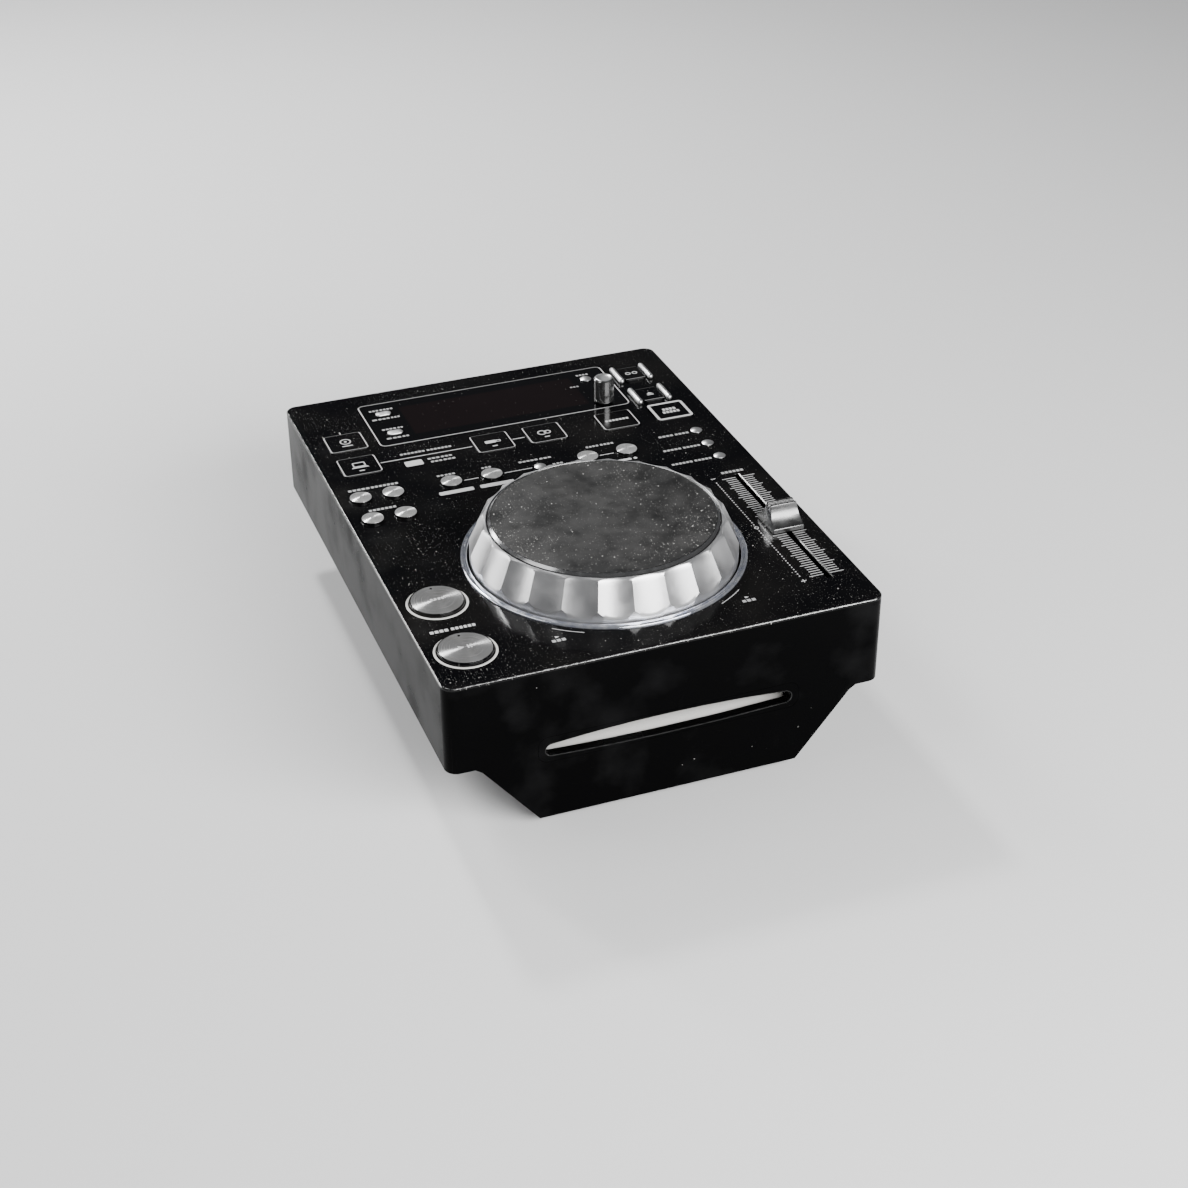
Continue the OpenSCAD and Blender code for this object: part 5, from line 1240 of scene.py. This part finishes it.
for name in ("cue_key", "play_key"):
    shape = bmesh.new()
    ledge = spot(name)[3] - PLAY_RISE - 0.05
    x, y, high = round_cap(shape, name, PLAY_R, PLAY_METAL, PLAY_RISE, ledge, 0.4, 128)
    mark = dome_level(PLAY_METAL, high, PLAY_RISE, MARK_OFF) + 0.03
    if name == "play_key":
        play_icon(shape, x, y, mark, 2)
    else:
        for step in (-2.7, -0.9, 0.9, 2.7):
            film(shape, box_outline(x + step, y, 1.25, 1.9, 0.2), mark, 2)
    level = dome_level(PLAY_METAL, high, PLAY_RISE, PLAY_METAL - DOT_IN) + 0.05
    dot(shape, x, y + PLAY_METAL - DOT_IN, DOT_R, level, 1)
    as_cap(name, shape, [SPUN, LACQUER, INK])
print("silver keys:", len(ROUND_KEYS) + len(MODE_KEYS) + 4)


# %% [markdown]
# ## Light rings
#
# Cue and play sit in a ring that lights up. Unlit it is a milky white line round a dark step. It is one
# turned profile in two finishes: the dark inner step, and the milky lip.

# %% Light rings
def milky():
    material, tree, shader = finish("milky", (0.78, 0.77, 0.73), 0.3, Subsurface_Weight=0.3)
    shader.inputs["Subsurface Radius"].default_value = (0.002, 0.002, 0.002)
    feed(shader, blend(tree, cloud(tree, here(tree), 3, 3), (0.70, 0.69, 0.66), (0.84, 0.83, 0.79)))
    return material


MILKY = milky()
RING_LOW, RING_HIGH = (corner.z for corner in span("ring_lights"))
RING_IN, RING_OUT, RING_LIP = PLAY_R + 0.35, PLAY_R + 1.65, 1.1
LIP_IN = RING_OUT - RING_LIP
RING_PROFILE = [(RING_OUT, RING_LOW), (RING_OUT, RING_HIGH - 0.25), (RING_OUT - 0.25, RING_HIGH),
                (LIP_IN, RING_HIGH), (LIP_IN - 0.1, RING_HIGH - 0.7), (RING_IN, RING_HIGH - 0.8),
                (RING_IN, RING_LOW)]
rings_shape = bmesh.new()
for name in ("cue_key", "play_key"):
    x, y = spot(name)[:2]
    tube(rings_shape, turned(x, y, RING_PROFILE, 128), [1, 0, 0, 0, 1, 1, 1])
piece("light_rings", rings_shape, "case", [MILKY, LACQUER], ["ring_lights"])
print("light rings at radius", RING_IN, "to", RING_OUT)


# %% [markdown]
# ## Guards
#
# Two bright bars stand on either side of the stop and eject keys, so that nobody presses them by
# accident. Each is a lathe-turned rod with round ends, cut flat where it stands on the panel.

# %% Guard bars
GUARD_R, GUARD_LEN, GUARD_OFF = 1.6, 18.0, 8.7
GUARD_MID = PANEL + 0.8*GUARD_R
ROUND_END = [(max(r, 0.02), GUARD_LEN/2 - GUARD_R + t) for r, t in arc(0, 0, GUARD_R, 90, 0, 6)]
GUARD_PROFILE = ROUND_END + [(r, -t) for r, t in reversed(ROUND_END)]
TURNS = [2*math.pi*i/24 for i in range(24)]
guards = bmesh.new()
for name in ("stick_stop_key", "eject_key"):
    x, y = spot(name)[:2]
    for side in (-1, 1):
        rod_x = x + side*GUARD_OFF
        skin(guards, [[Vector((rod_x + r*math.cos(a), y + t, max(GUARD_MID + r*math.sin(a), PANEL)))
                       for a in TURNS] for r, t in GUARD_PROFILE])
piece("guard_bars", guards, "case", [SATIN_CHROME], ["button_guards"], 40)
print("guard bars:", 4)

# %% [markdown]
# ## Rotary knob
#
# The selector is a plain turned knob: a bright chamfered lip, a fine satin wall and a shallow dish on
# top. Its shaft goes down through the window into the encoder.

# %% Rotary knob
KNOB_R, SHAFT_R, KNOB_WALLS = 5.6, 3.0, 10
x, y, low, high = spot("select_knob")
base = PANEL + 0.75
profile = [(SHAFT_R - 0.3, low), (SHAFT_R, low + 0.3), (SHAFT_R, base), (KNOB_R - 0.3, base),
           (KNOB_R, base + 0.3), (KNOB_R, base + 1.2), (KNOB_R - 0.25, base + 1.35),
           (KNOB_R - 0.25, base + 1.7), (KNOB_R, base + 1.85), (KNOB_R, high - 1.0),
           (KNOB_R - 0.75, high - 0.12)]
profile += arc(KNOB_R - 1.1, high - 0.4, 0.4, 50, 90, 2)
profile += [(KNOB_R - 1.5, high), (KNOB_R - 1.9, high - 0.25), (1.5, high - 0.45), (0.3, high - 0.5)]
selector = bmesh.new()
skin(selector, turned(x, y, profile, 72), [1]*KNOB_WALLS + [0]*(len(profile) - KNOB_WALLS))
piece("selector_knob", selector, "rotary_knob", [SATIN_CHROME, BARREL], ["select_knob"], 32)
print("selector knob height", round(high - base, 1))

# %% [markdown]
# ## Fader knob
#
# The fader knob has the right shape in the frame: two finger hollows, a ridge with a groove, a lip at
# its foot. It gets soft edges and dark satin chrome, and below the panel its carriage is plain black.

# %% Fader knob
KNOB_FOOT = PANEL + 0.4
fader_knob = soft_copy("fader_knob", ["tempo_knob"], "tempo_slider", [KNOB_SILVER, GRAINED],
                       0.3, 30,
                       lambda middle, normal: 0 if middle.z > KNOB_FOOT - 0.05 else 1,
                       spared=lambda middle: middle.z < KNOB_FOOT + 0.1, clamp=False)
print("fader knob faces:", len(fader_knob.data.polygons))


# %% [markdown]
# ## Scale of the fader
#
# The scale beside the fader is two combs of fine ticks with every fifth one longer, and a dotted line.
# All of them repeat one mark along a line, so one node tree makes them: a mesh line gives the places, a
# small box is the mark, and a longer copy comes at every fifth place. The mark is shifted by half its
# length, so that it grows away from the slot and not to both sides.

# %% Node tree of a row of marks
def marks_tree():
    tree, given, output = new_tree("row_of_marks", [
        ("Count", "Int"), ("First", "Vector"), ("Step", "Vector"), ("Size", "Vector"), ("Grow", "Vector"),
        ("Every", "Int"), ("Stretch", "Float"), ("Material", "Material")])
    m = math_of(tree)
    line = node(tree, "GeometryNodeMeshLine", {"Count": given["Count"], "Start Location": given["First"],
                                               "Offset": given["Step"]}, mode="OFFSET").outputs[0]
    mark = node(tree, "GeometryNodeMeshCube", {"Size": given["Size"]}).outputs["Mesh"]
    half = calc_vector(tree, "MULTIPLY", given["Size"], given["Grow"])
    seated = node(tree, "GeometryNodeTransform", {"Geometry": mark, "Translation": half}).outputs[0]
    index = node(tree, "GeometryNodeInputIndex").outputs[0]
    is_long = m["COMPARE"](m["MODULO"](index, given["Every"]), 0.0, 0.1)
    longer = m["MULTIPLY_ADD"](is_long, m["SUBTRACT"](given["Stretch"], 1.0), 1.0)
    scale = node(tree, "ShaderNodeCombineXYZ", {"X": longer, "Y": 1.0, "Z": 1.0}).outputs[0]
    row = node(tree, "GeometryNodeInstanceOnPoints", {"Points": line, "Instance": seated, "Scale": scale})
    deliver(tree, row.outputs[0], given["Material"], output)
    return tree


MARKS = marks_tree()


def row_of_marks(name, count, first, step, size, material, every=1, stretch=1.0, side=0.0):
    """Run the tree with sizes in millimetres; side says which way a mark grows along X, or 0 for both."""
    in_metres = [[v*MM for v in vector] for vector in (first, step, size)]
    return grow(name, MARKS, {
        "Count": count, "First": in_metres[0], "Step": in_metres[1], "Size": in_metres[2],
        "Grow": [side/2, 0.0, 0.0], "Every": every, "Stretch": stretch, "Material": material})


TICK_PITCH, TICK_COUNT, TICK_W, TICK_D, LONG_TICK = 2.07, 51, 5.9, 0.6, 1.27
SCALE_REAR = SLOT_Y + TICK_PITCH*(TICK_COUNT - 1)/2
PRINT_Z = PANEL + FILM/2
for name, side in (("left", -1), ("right", 1)):
    tick_x = SLOT_X + side*(SLOT_W/2 + 0.3)
    comb = row_of_marks("ticks_" + name, TICK_COUNT, (tick_x, SCALE_REAR, PRINT_Z), (0, -TICK_PITCH, 0),
                        (TICK_W, TICK_D, FILM), WORD_INK, 5, LONG_TICK, side)
    settle("fader_ticks_" + name, comb, "case")
DOT_X, DOT_COUNT, DOT_PITCH, DOT_SIZE = 79.0, 46, 2.2, (0.62, 0.8, FILM)
dotted = row_of_marks("dotted", DOT_COUNT, (DOT_X, SLOT_Y + DOT_PITCH*(DOT_COUNT - 1)/2, PRINT_Z),
                      (0, -DOT_PITCH, 0), DOT_SIZE, INK)
settle("fader_dotted_line", dotted, "case")
print("ticks:", 2*TICK_COUNT, "dots:", DOT_COUNT)


# %% [markdown]
# ## Print of the panel
#
# Lines tie the keys that belong together, a frame goes round the window and rows of small blocks stand
# where a panel has its words. `words` lays one row for each word of a legend, centred on its place; the
# blocks share out the length of the word, about one for each of its letters.

# %% Panel print
LETTER_W, LETTER_GAP, LETTER_TALL, LINE_W = 1.55, 0.6, 1.55, 0.5


def words(shape, x, y, lengths, height=1.1, gap=1.3, align=0, paint=1):
    """Blocks for the words of a legend: centred on x, or beginning (1) or ending (-1) at x."""
    total = sum(lengths) + gap*(len(lengths) - 1)
    at = x - total*(1 - align)/2
    for length in lengths:
        count = max(1, round((length + LETTER_GAP)/(LETTER_W + LETTER_GAP)))
        pitch = (length + LETTER_GAP)/count
        for i in range(count):
            middle = at + (i + 0.5)*pitch - LETTER_GAP/2
            film(shape, box_outline(middle, y, pitch - LETTER_GAP, height*LETTER_TALL), PANEL, paint)
        at += length + gap


print_shape = bmesh.new()
WINDOW_LOW, WINDOW_HIGH = span("display_window")
window_x, window_y = (WINDOW_LOW.x + WINDOW_HIGH.x)/2, (WINDOW_LOW.y + WINDOW_HIGH.y)/2
window_w, window_d = WINDOW_HIGH.x - WINDOW_LOW.x, WINDOW_HIGH.y - WINDOW_LOW.y
# The window's frame is painted with light and shade: its sides in the light ink, its front line in the darker
# word ink and its rear line in painted half light.
frame_line(print_shape, window_x, window_y, window_w + 1.4, window_d + 1.4, 3.4, 0.6, PANEL, 0, 2, 1)

source_y = spot("source_stick_key")[1]
computer_x, stick_x, link_x = (spot("source_%s_key" % which)[0] for which in ("computer", "stick", "link"))
half_key = SQUARE_W/2 + 0.6
for left, right in ((computer_x, stick_x), (stick_x, link_x)):
    stroke(print_shape, (left + half_key, source_y), (right - half_key, source_y), LINE_W, PANEL)
disc_x, disc_y = spot("source_disc_key")[:2]
key_rear = disc_y + SQUARE_D/2
stroke(print_shape, (disc_x, key_rear + 0.6), (disc_x, key_rear + 3.4), LINE_W, PANEL)
words(print_shape, -50.6, source_y + 4.8, (13.4, 13.4))
film(print_shape, box_outline(-60.4, source_y - 6.6, 9.6, 5.6, 0.8), PANEL)
words(print_shape, -52.4, source_y - 4.9, (6.4, 6.0), 1.0, 0.9, align=1)
words(print_shape, -51.6, source_y - 8.5, (6.0, 6.4), 1.0, 0.9, align=1)

row_y = spot("loop_in_key")[1]
search_y = spot("search_back_key")[1]
track_x = (spot("track_back_key")[0] + spot("track_next_key")[0])/2
words(print_shape, track_x + 0.8, row_y + 10.6, (11.2, 14.3), 1.2, 0.9)
words(print_shape, track_x - 0.8, search_y + 10.0, (14.2,), 1.2)
loop_x = [spot(name)[0] for name in ("loop_in_key", "loop_out_key", "loop_exit_key", "beat_half_key",
                                     "beat_double_key")]
words(print_shape, loop_x[0], row_y + 9.8, (3.4, 5.4), 1.0, 0.9)
words(print_shape, loop_x[1], row_y + 9.8, (5.2,), 1.0)
words(print_shape, loop_x[2], row_y + 8.6, (10.4, 6.4), 1.0, 1.1)
words(print_shape, (loop_x[3] + loop_x[4])/2, row_y + 11.6, (7.0, 7.4), 1.1, 1.1)
for left, right, right_r in ((0, 1, KEY_R), (1, 2, MODE_R), (3, 4, KEY_R)):
    start, end = loop_x[left] + (KEY_R + 0.8), loop_x[right] - (right_r + 0.8)
    stroke(print_shape, (start, row_y + 0.6), (end, row_y + 0.6), LINE_W, PANEL)
words(print_shape, loop_x[2] + 10.0, row_y + 0.6, (5.5,), 0.9)
for x in loop_x[:2]:
    film(print_shape, box_outline(x, row_y - 9.0, 18.5, 3.4, 0.9), PANEL)
film(print_shape, box_outline(43.0, row_y - 8.6, 10.0, 2.0, 0.8), PANEL)
dot(print_shape, 50.2, row_y - 8.6, 1.0, PANEL)

for name, lengths in (("jog_mode_key", (8.2, 7.8)), ("tempo_range_key", (10.0, 9.6)),
                      ("master_tempo_key", (11.6, 9.6))):
    x, y = spot(name)[:2]
    words(print_shape, x - 4.6, y, lengths, 1.1, align=-1)
words(print_shape, SLOT_X - 0.6, SCALE_REAR + 6.6, (12.2,), 1.3)
hoop(print_shape, DOT_X, SLOT_Y, 1.2, 0.4, PANEL + FILM, 0, 16)
minus_y = SCALE_REAR + 2.4
plus_y = SLOT_Y - (minus_y - SLOT_Y)
SIGN_HALF, SIGN_W = 1.3, 0.45
for y in (minus_y, plus_y):
    stroke(print_shape, (DOT_X - SIGN_HALF, y), (DOT_X + SIGN_HALF, y), SIGN_W, PANEL)
stroke(print_shape, (DOT_X, plus_y - SIGN_HALF), (DOT_X, plus_y + SIGN_HALF), SIGN_W, PANEL + 0.005)

for name, above, below in (("time_key", (5.2, 7.2), (2.6, 6.2, 4.8)),
                           ("text_key", (7.7, 2.9), (2.5, 4.4, 3.5))):
    x, y = spot(name)[:2]
    words(print_shape, x, y + 5.4, above, 1.0, 0.9)
    words(print_shape, x, y - 5.4, below, 1.0, 0.9)
menu_x, menu_y = spot("menu_key")[:2]
words(print_shape, menu_x, menu_y + 6.4, (7.0,), 1.0)
words(print_shape, menu_x - 9.2, menu_y - 6.5, (5.0,), 0.9)
play_x, play_y = spot("play_key")[:2]
words(print_shape, play_x + 0.1, (play_y + spot("cue_key")[1])/2 - 1.7, (8.8, 11.6), 1.35, 1.4, paint=0)
print("panel print:", len(print_shape.faces), "faces")

# %% [markdown]
# ## Turning arrows
#
# Two thin arcs beside the dial's foot say which way it turns backwards and forwards. Each is a run of
# points on a circle round the dial, with its width along the radius.

# %% Arcs beside the dial
def arc_line(shape, radius, start, end, width, level, paint=0, steps=14):
    """Part of a ring round the dial's axis, between two angles in degrees."""
    angles = [math.radians(start + (end - start)*i/steps) for i in range(steps + 1)]
    outer, inner = ([(DIAL_X + r*math.cos(a), DIAL_Y + r*math.sin(a)) for a in angles]
                    for r in (radius + width/2, radius - width/2))
    film(shape, outer + inner[::-1], level, paint)


ARROW_R, ARROW_TURN, ARROW_HALF, ARROW_W = 73.2, 34.0, 6, 0.4
ARROW_X, ARROW_Y, ARROW_WORD_Y = 47.5, -124.6, -127.5
for side in (-1, 1):
    middle = -90 + side*ARROW_TURN
    arc_line(print_shape, ARROW_R, middle - ARROW_HALF, middle + ARROW_HALF, ARROW_W, PANEL)
    at = side*ARROW_X
    words(print_shape, at, ARROW_WORD_Y, (6.6,), 1.3)
    film(print_shape, [(at + 1.2, ARROW_Y), (at - 0.8, ARROW_Y + 0.8), (at - 0.8, ARROW_Y - 0.8)], PANEL)
piece("panel_print", print_shape, "case", [INK, WORD_INK, PAINTED_HALF_LIGHT_INK, PAINTED_SHADE_INK])

# %% [markdown]
# ## Window and disc slot
#
# The window is a flush pane of smoked plastic over the display. In the front, the disc goes in between
# two strips of felt behind a gloss black lip; the light that falls in shows the lower felt as a pale
# crescent.

# %% Window, bezel and felt
GLASS_HALF_W, GLASS_HALF_D, LIP_ROUND = 50.0, 17.0, 0.5
SMOKED = smoked_window(window_x, window_y, GLASS_HALF_W, GLASS_HALF_D)
LIP_GLOSS = satin_chrome("lip_gloss", 0.05, 0.22)


def lip_paint(middle, normal):
    """The rounded edge of the mouth is polished, the rest is as the cabinet."""
    return 1 if middle.y < FRONT + LIP_ROUND and abs(normal.y) < 0.98 and not off_the_rim(middle) else 0


def off_the_rim(middle):
    """True for every edge but the mouth's front one."""
    inside = abs(middle.x) < BEZEL_HIGH.x - 4 and BEZEL_LOW.z + 3 < middle.z < BEZEL_HIGH.z - 2.8
    return not (inside and middle.y < FRONT + LIP_ROUND)


soft_copy("window_pane", ["display_window"], "case", [SMOKED], 0.1)
soft_copy("slot_lip", ["slot_bezel"], "case", [MOULDED, LIP_GLOSS], LIP_ROUND, 40, lip_paint,
          spared=off_the_rim, clamp=False)
FELT_LOW, FELT_HIGH = span("slot_felt")
FELT_T = 1.6


def felt_strip(shape, low, high, steps=60):
    """Slab of felt with a soft, slightly uneven front edge."""
    loops = []
    for y, drop in ((FELT_LOW.y, 0.25), (FELT_LOW.y + 0.35, 0.0), (FELT_HIGH.y, 0.0)):
        wave = [0.06*math.sin(i*1.7)*math.cos(i*0.6) for i in range(steps + 1)]
        xs = [FELT_LOW.x + (FELT_HIGH.x - FELT_LOW.x)*i/steps for i in range(steps + 1)]
        over = [Vector((x, y + (w + 0.06 if drop else 0), high - drop)) for x, w in zip(xs, wave)]
        under = [Vector((x, y + (w + 0.06 if drop else 0), low + drop)) for x, w in zip(xs, wave)]
        loops.append(over + list(reversed(under)))
    skin(shape, loops)


felt_shape = bmesh.new()
felt_strip(felt_shape, FELT_LOW.z, FELT_LOW.z + FELT_T)
felt_strip(felt_shape, FELT_HIGH.z - FELT_T, FELT_HIGH.z)
piece("felt_strips", felt_shape, "case", [FELT], ["slot_felt"], 50)
print("felt level", round(FELT_LOW.z + FELT_T, 1))

# %% [markdown]
# ## Rear panel
#
# The back has a recessed sheet-metal panel, painted dark, with the mains inlet, the switch, two phono
# sockets, a control jack and two data sockets. The sockets are one node, so the finish of each face is
# chosen by where it lies: the phono sleeves are plated, with a white and a red insulator.

# %% Rear sockets
def painted_steel():
    material, tree, shader = finish("painted_steel", (0.045, 0.046, 0.048), 0.5, 0.3)
    dusty(tree, shader, (0.045, 0.046, 0.048), 0.5, dust(tree, 3, 0.2, 0.3, flat=False), 0.5)
    fine_relief(tree, shader, 0.45, 3, 0.02, 0.6)
    return material


def plain_plastic(name, colour, roughness=0.45):
    """Plain moulded plastic with a little unevenness in its colour and gloss."""
    material, tree, shader = finish(name, colour, roughness)
    light = tuple(min(c*1.25 + 0.004, 1) for c in colour)
    feed(shader, blend(tree, cloud(tree, here(tree), 7, 4), colour, light),
         patches(tree, 5, 4, 0.35, 0.7, roughness*0.85, min(roughness*1.2, 1)))
    fine_relief(tree, shader, 0.5, 2, 0.008, 0.4)
    return material


def plated(name, colour, roughness=0.25):
    """Plated or rolled metal with faint streaks."""
    material, tree, shader = finish(name, colour, roughness, 1.0)
    streaks = cloud(tree, here(tree, stretch=(1, 6, 1)), 2.2, 5)
    dark = tuple(c*0.78 for c in colour)
    feed(shader, blend(tree, streaks, dark, colour),
         remap(tree, streaks, 0.3, 0.7, roughness*0.8, roughness*1.4))
    return material


STEEL_PAINT = painted_steel()
SOCKET_BLACK = plain_plastic("socket_black", (0.02, 0.02, 0.021))
SOCKET_RED = plain_plastic("socket_red", (0.42, 0.02, 0.02))
SOCKET_WHITE = plain_plastic("socket_white", (0.70, 0.69, 0.66))
NICKEL = plated("nickel", (0.66, 0.65, 0.62))
GILT = plated("gilt", (0.78, 0.60, 0.27), 0.22)

REAR_FACE = span("rear_panel")[1].y
REAR_MID = (span("rear_sockets")[0].z + span("rear_sockets")[1].z)/2
PHONO_LEFT, PHONO_RIGHT, DATA_SQUARE_X, DATA_FLAT_X, INLET_X = -30.0, -46.0, 8.0, -74.0, 70.0
SOCKET_FINISHES = [SOCKET_BLACK, SOCKET_RED, SOCKET_WHITE, NICKEL, GILT]
PLAIN, RED, WHITE, PLATED, GOLDEN = range(5)


def socket_paint(middle, normal):
    """Finish of a face of the sockets, from its place."""
    outside = middle.y > REAR_FACE + 0.1
    for x, insulator in ((PHONO_LEFT, WHITE), (PHONO_RIGHT, RED)):
        if abs(middle.x - x) < 6 and middle.y > REAR_FACE - 13:
            radius = math.hypot(middle.x - x, middle.z - REAR_MID)
            if outside and (radius > 3.6 or abs(normal.y) > 0.5 and radius > 3.0):
                return GOLDEN
            return insulator if radius < 4.3 and middle.y > REAR_FACE else PLAIN
    for x, half in ((DATA_SQUARE_X, 7), (DATA_FLAT_X, 8)):
        if abs(middle.x - x) < half:
            is_tongue = abs(middle.z - REAR_MID) < 1.7 and abs(middle.x - x) < half - 2
            return PLAIN if is_tongue else PLATED
    off = abs(middle.x - INLET_X)
    is_pin = off < 6.5 and math.hypot(off - 4.4, middle.z - REAR_MID) < 1.3 and middle.y > REAR_FACE - 14
    return GOLDEN if is_pin else PLAIN


soft_copy("socket_plate", ["rear_panel"], "case", [STEEL_PAINT], 0.12)
soft_copy("sockets", ["rear_sockets"], "case", SOCKET_FINISHES, 0.12, 30, socket_paint)
soft_copy("power_switch", ["power_rocker"], "rocker", [SOCKET_BLACK, SOCKET_WHITE], 0.2, 30)
print("rear panel at", round(REAR_FACE, 1), "sockets at height", round(REAR_MID, 1))


# %% [markdown]
# ## Feet
#
# The rubber feet are turned discs with a few round ribs that grip the table. All four share one profile,
# and their places are the corners of the feet's box.

# %% Ribbed feet
FOOT_RIM, FOOT_H, RIB_PITCH = 9.0, 4.0, 1.5
profile = [(0.3, 0.5), (1.2, 0.5)]
r = 1.5
while r < FOOT_RIM - 1.6:
    profile += [(r, 0.0), (r + 0.8, 0.0), (r + 0.95, 0.45), (r + RIB_PITCH - 0.15, 0.45)]
    r += RIB_PITCH
profile += [(FOOT_RIM - 1.3, 0.0), (FOOT_RIM - 0.6, 0.0), (FOOT_RIM, 0.6), (FOOT_RIM, FOOT_H), (0.3, FOOT_H)]

low, high = span("rubber_feet")
feet = bmesh.new()
for x in (low.x + FOOT_RIM, high.x - FOOT_RIM):
    for y in (low.y + FOOT_RIM, high.y - FOOT_RIM):
        skin(feet, turned(x, y, profile, 48))
piece("feet", feet, "case", [RUBBER], ["rubber_feet"])
print("feet:", 4)

# %% [markdown]
# ## Screws under the case
#
# Six pan-head screws with a cross recess hold the two halves together. One screw is modelled as a small
# skin with its cross cut in, and Geometry Nodes set a copy on each of its six places.

# %% Screws
HEAD_R, HEAD_H, SHANK_R, SCREW_STEPS = 3.0, 1.8, 1.45, 32
CROSS_REACH, CROSS_WAIST, CROSS_DEEP = 1.5, 0.55, 0.8


def one_screw(name):
    """Screw that points up, with its head below its origin; in metres."""
    shape = bmesh.new()
    profile = [(HEAD_R - 0.8, -HEAD_H), (HEAD_R - 0.25, -HEAD_H + 0.3), (HEAD_R, -HEAD_H + 0.9),
               (HEAD_R, 0.0), (SHANK_R, 0.0), (SHANK_R, 14.0), (0.3, 15.0)]
    rings = skin(shape, turned(0, 0, profile, SCREW_STEPS), close=False)
    shape.faces.new(rings[-1])
    cross = []
    for i in range(SCREW_STEPS):
        angle = 2*math.pi*i/SCREW_STEPS
        reach = CROSS_REACH if i % 8 in (0, 1, 7) else CROSS_WAIST
        cross.append(shape.verts.new(Vector((reach*math.cos(angle), reach*math.sin(angle), -HEAD_H))*MM))
    floor_ring = [shape.verts.new(v.co + Vector((0, 0, CROSS_DEEP*MM))) for v in cross]
    for first, second in ((rings[0], cross), (cross, floor_ring)):
        for i in range(SCREW_STEPS):
            j = (i + 1) % SCREW_STEPS
            shape.faces.new((first[i], first[j], second[j], second[i]))
    shape.faces.new(floor_ring)
    bmesh.ops.recalc_face_normals(shape, faces=shape.faces)
    mesh = bpy.data.meshes.new(name)
    shape.to_mesh(mesh)
    shape.free()
    made = bpy.data.objects.new(name, mesh)
    bpy.context.scene.collection.objects.link(made)
    return made


def screw_tree():
    tree, given, output = new_tree("screws", [("Screw", "Object"), ("Columns", "Int"), ("Rows", "Int"),
                                              ("Width", "Float"), ("Depth", "Float"), ("Centre", "Vector"),
                                              ("Material", "Material")])
    screw = node(tree, "GeometryNodeObjectInfo", {"Object": given["Screw"]}).outputs["Geometry"]
    grid = node(tree, "GeometryNodeMeshGrid", {"Size X": given["Width"], "Size Y": given["Depth"],
                "Vertices X": given["Columns"], "Vertices Y": given["Rows"]}).outputs["Mesh"]
    moved = node(tree, "GeometryNodeTransform", {"Geometry": grid, "Translation": given["Centre"]})
    turn = node(tree, "FunctionNodeRandomValue", {"Min": (0.0, 0.0, 0.0), "Max": (0.0, 0.0, 1.5), "Seed": 4},
                data_type="FLOAT_VECTOR").outputs[0]
    copies = node(tree, "GeometryNodeInstanceOnPoints", {"Points": moved.outputs[0], "Instance": screw,
                                                         "Rotation": turn})
    deliver(tree, copies.outputs[0], given["Material"], output)
    return tree


SCREW_STEEL = plated("screw_steel", (0.55, 0.55, 0.56), 0.3)
low, high = span("case_screws")
pattern = one_screw("one_screw")
screw_mesh = grow("screws", screw_tree(), {
    "Screw": pattern, "Columns": 2, "Rows": 3, "Width": (high.x - low.x - 2*HEAD_R)*MM,
    "Depth": (high.y - low.y - 2*HEAD_R)*MM, "Centre": [0.0, 0.0, (low.z + HEAD_H)*MM],
    "Material": SCREW_STEEL})
bpy.data.objects.remove(pattern)
screws = settle("screws", screw_mesh, "case", ["case_screws"])
print("screws:", 6, "faces:", len(screws.data.polygons))

# %% [markdown]
# ## Inside
#
# Nothing inside shows while the case is shut, apart from a glimpse of the drive through the slot. Those
# pieces keep their CAD shape, and each gets the finish of its real stuff: solder mask, zinc-plated
# sheet, nylon, rubber.

# %% Finishes of the hidden pieces
def board(name, colour):
    """Circuit board: solder mask over a net of copper tracks."""
    material, tree, shader = finish(name, colour, 0.35)
    tracks = node(tree, "ShaderNodeTexVoronoi", {"Vector": here(tree), "Scale": 1/(2.4*MM)},
                  distance="MANHATTAN").outputs[0]
    lines = remap(tree, tracks, 0.30, 0.34)
    feed(shader, blend(tree, lines, colour, tuple(min(c*1.7 + 0.01, 1) for c in colour)))
    relief(tree, shader, lines, 0.03, 0.5)
    return material


INSIDE = {
    board("board_green", (0.01, 0.09, 0.03)): ("panel_board", "main_board"),
    board("board_brown", (0.16, 0.09, 0.03)): ("power_board",),
    plated("zinc_sheet", (0.55, 0.56, 0.57), 0.35): ("drive_chassis", "tempo_fader", "jog_spindle"),
    plated("motor_can", (0.48, 0.48, 0.49), 0.3): ("drive_motors",),
    plated("contact_brass", (0.72, 0.55, 0.25), 0.3): ("encoder_rotor",),
    plain_plastic("display_dark", (0.012, 0.016, 0.02), 0.25): ("display_module",),
    plain_plastic("inner_black", (0.02, 0.02, 0.022)): ("jog_encoder_wheel", "pickup_sled", "clamp_arm"),
    plain_plastic("inner_grey", (0.16, 0.16, 0.165)): ("jog_touch_ring", "spindle_hub", "clamp_puck"),
    plain_plastic("gear_nylon", (0.72, 0.71, 0.66), 0.4): ("sled_gear",),
    RUBBER: ("feed_roller",),
}
for material, nodes in INSIDE.items():
    for name in nodes:
        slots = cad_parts[name].data.materials
        for i in range(len(slots)):
            slots[i] = material
print("hidden pieces dressed:", sum(len(nodes) for nodes in INSIDE.values()))
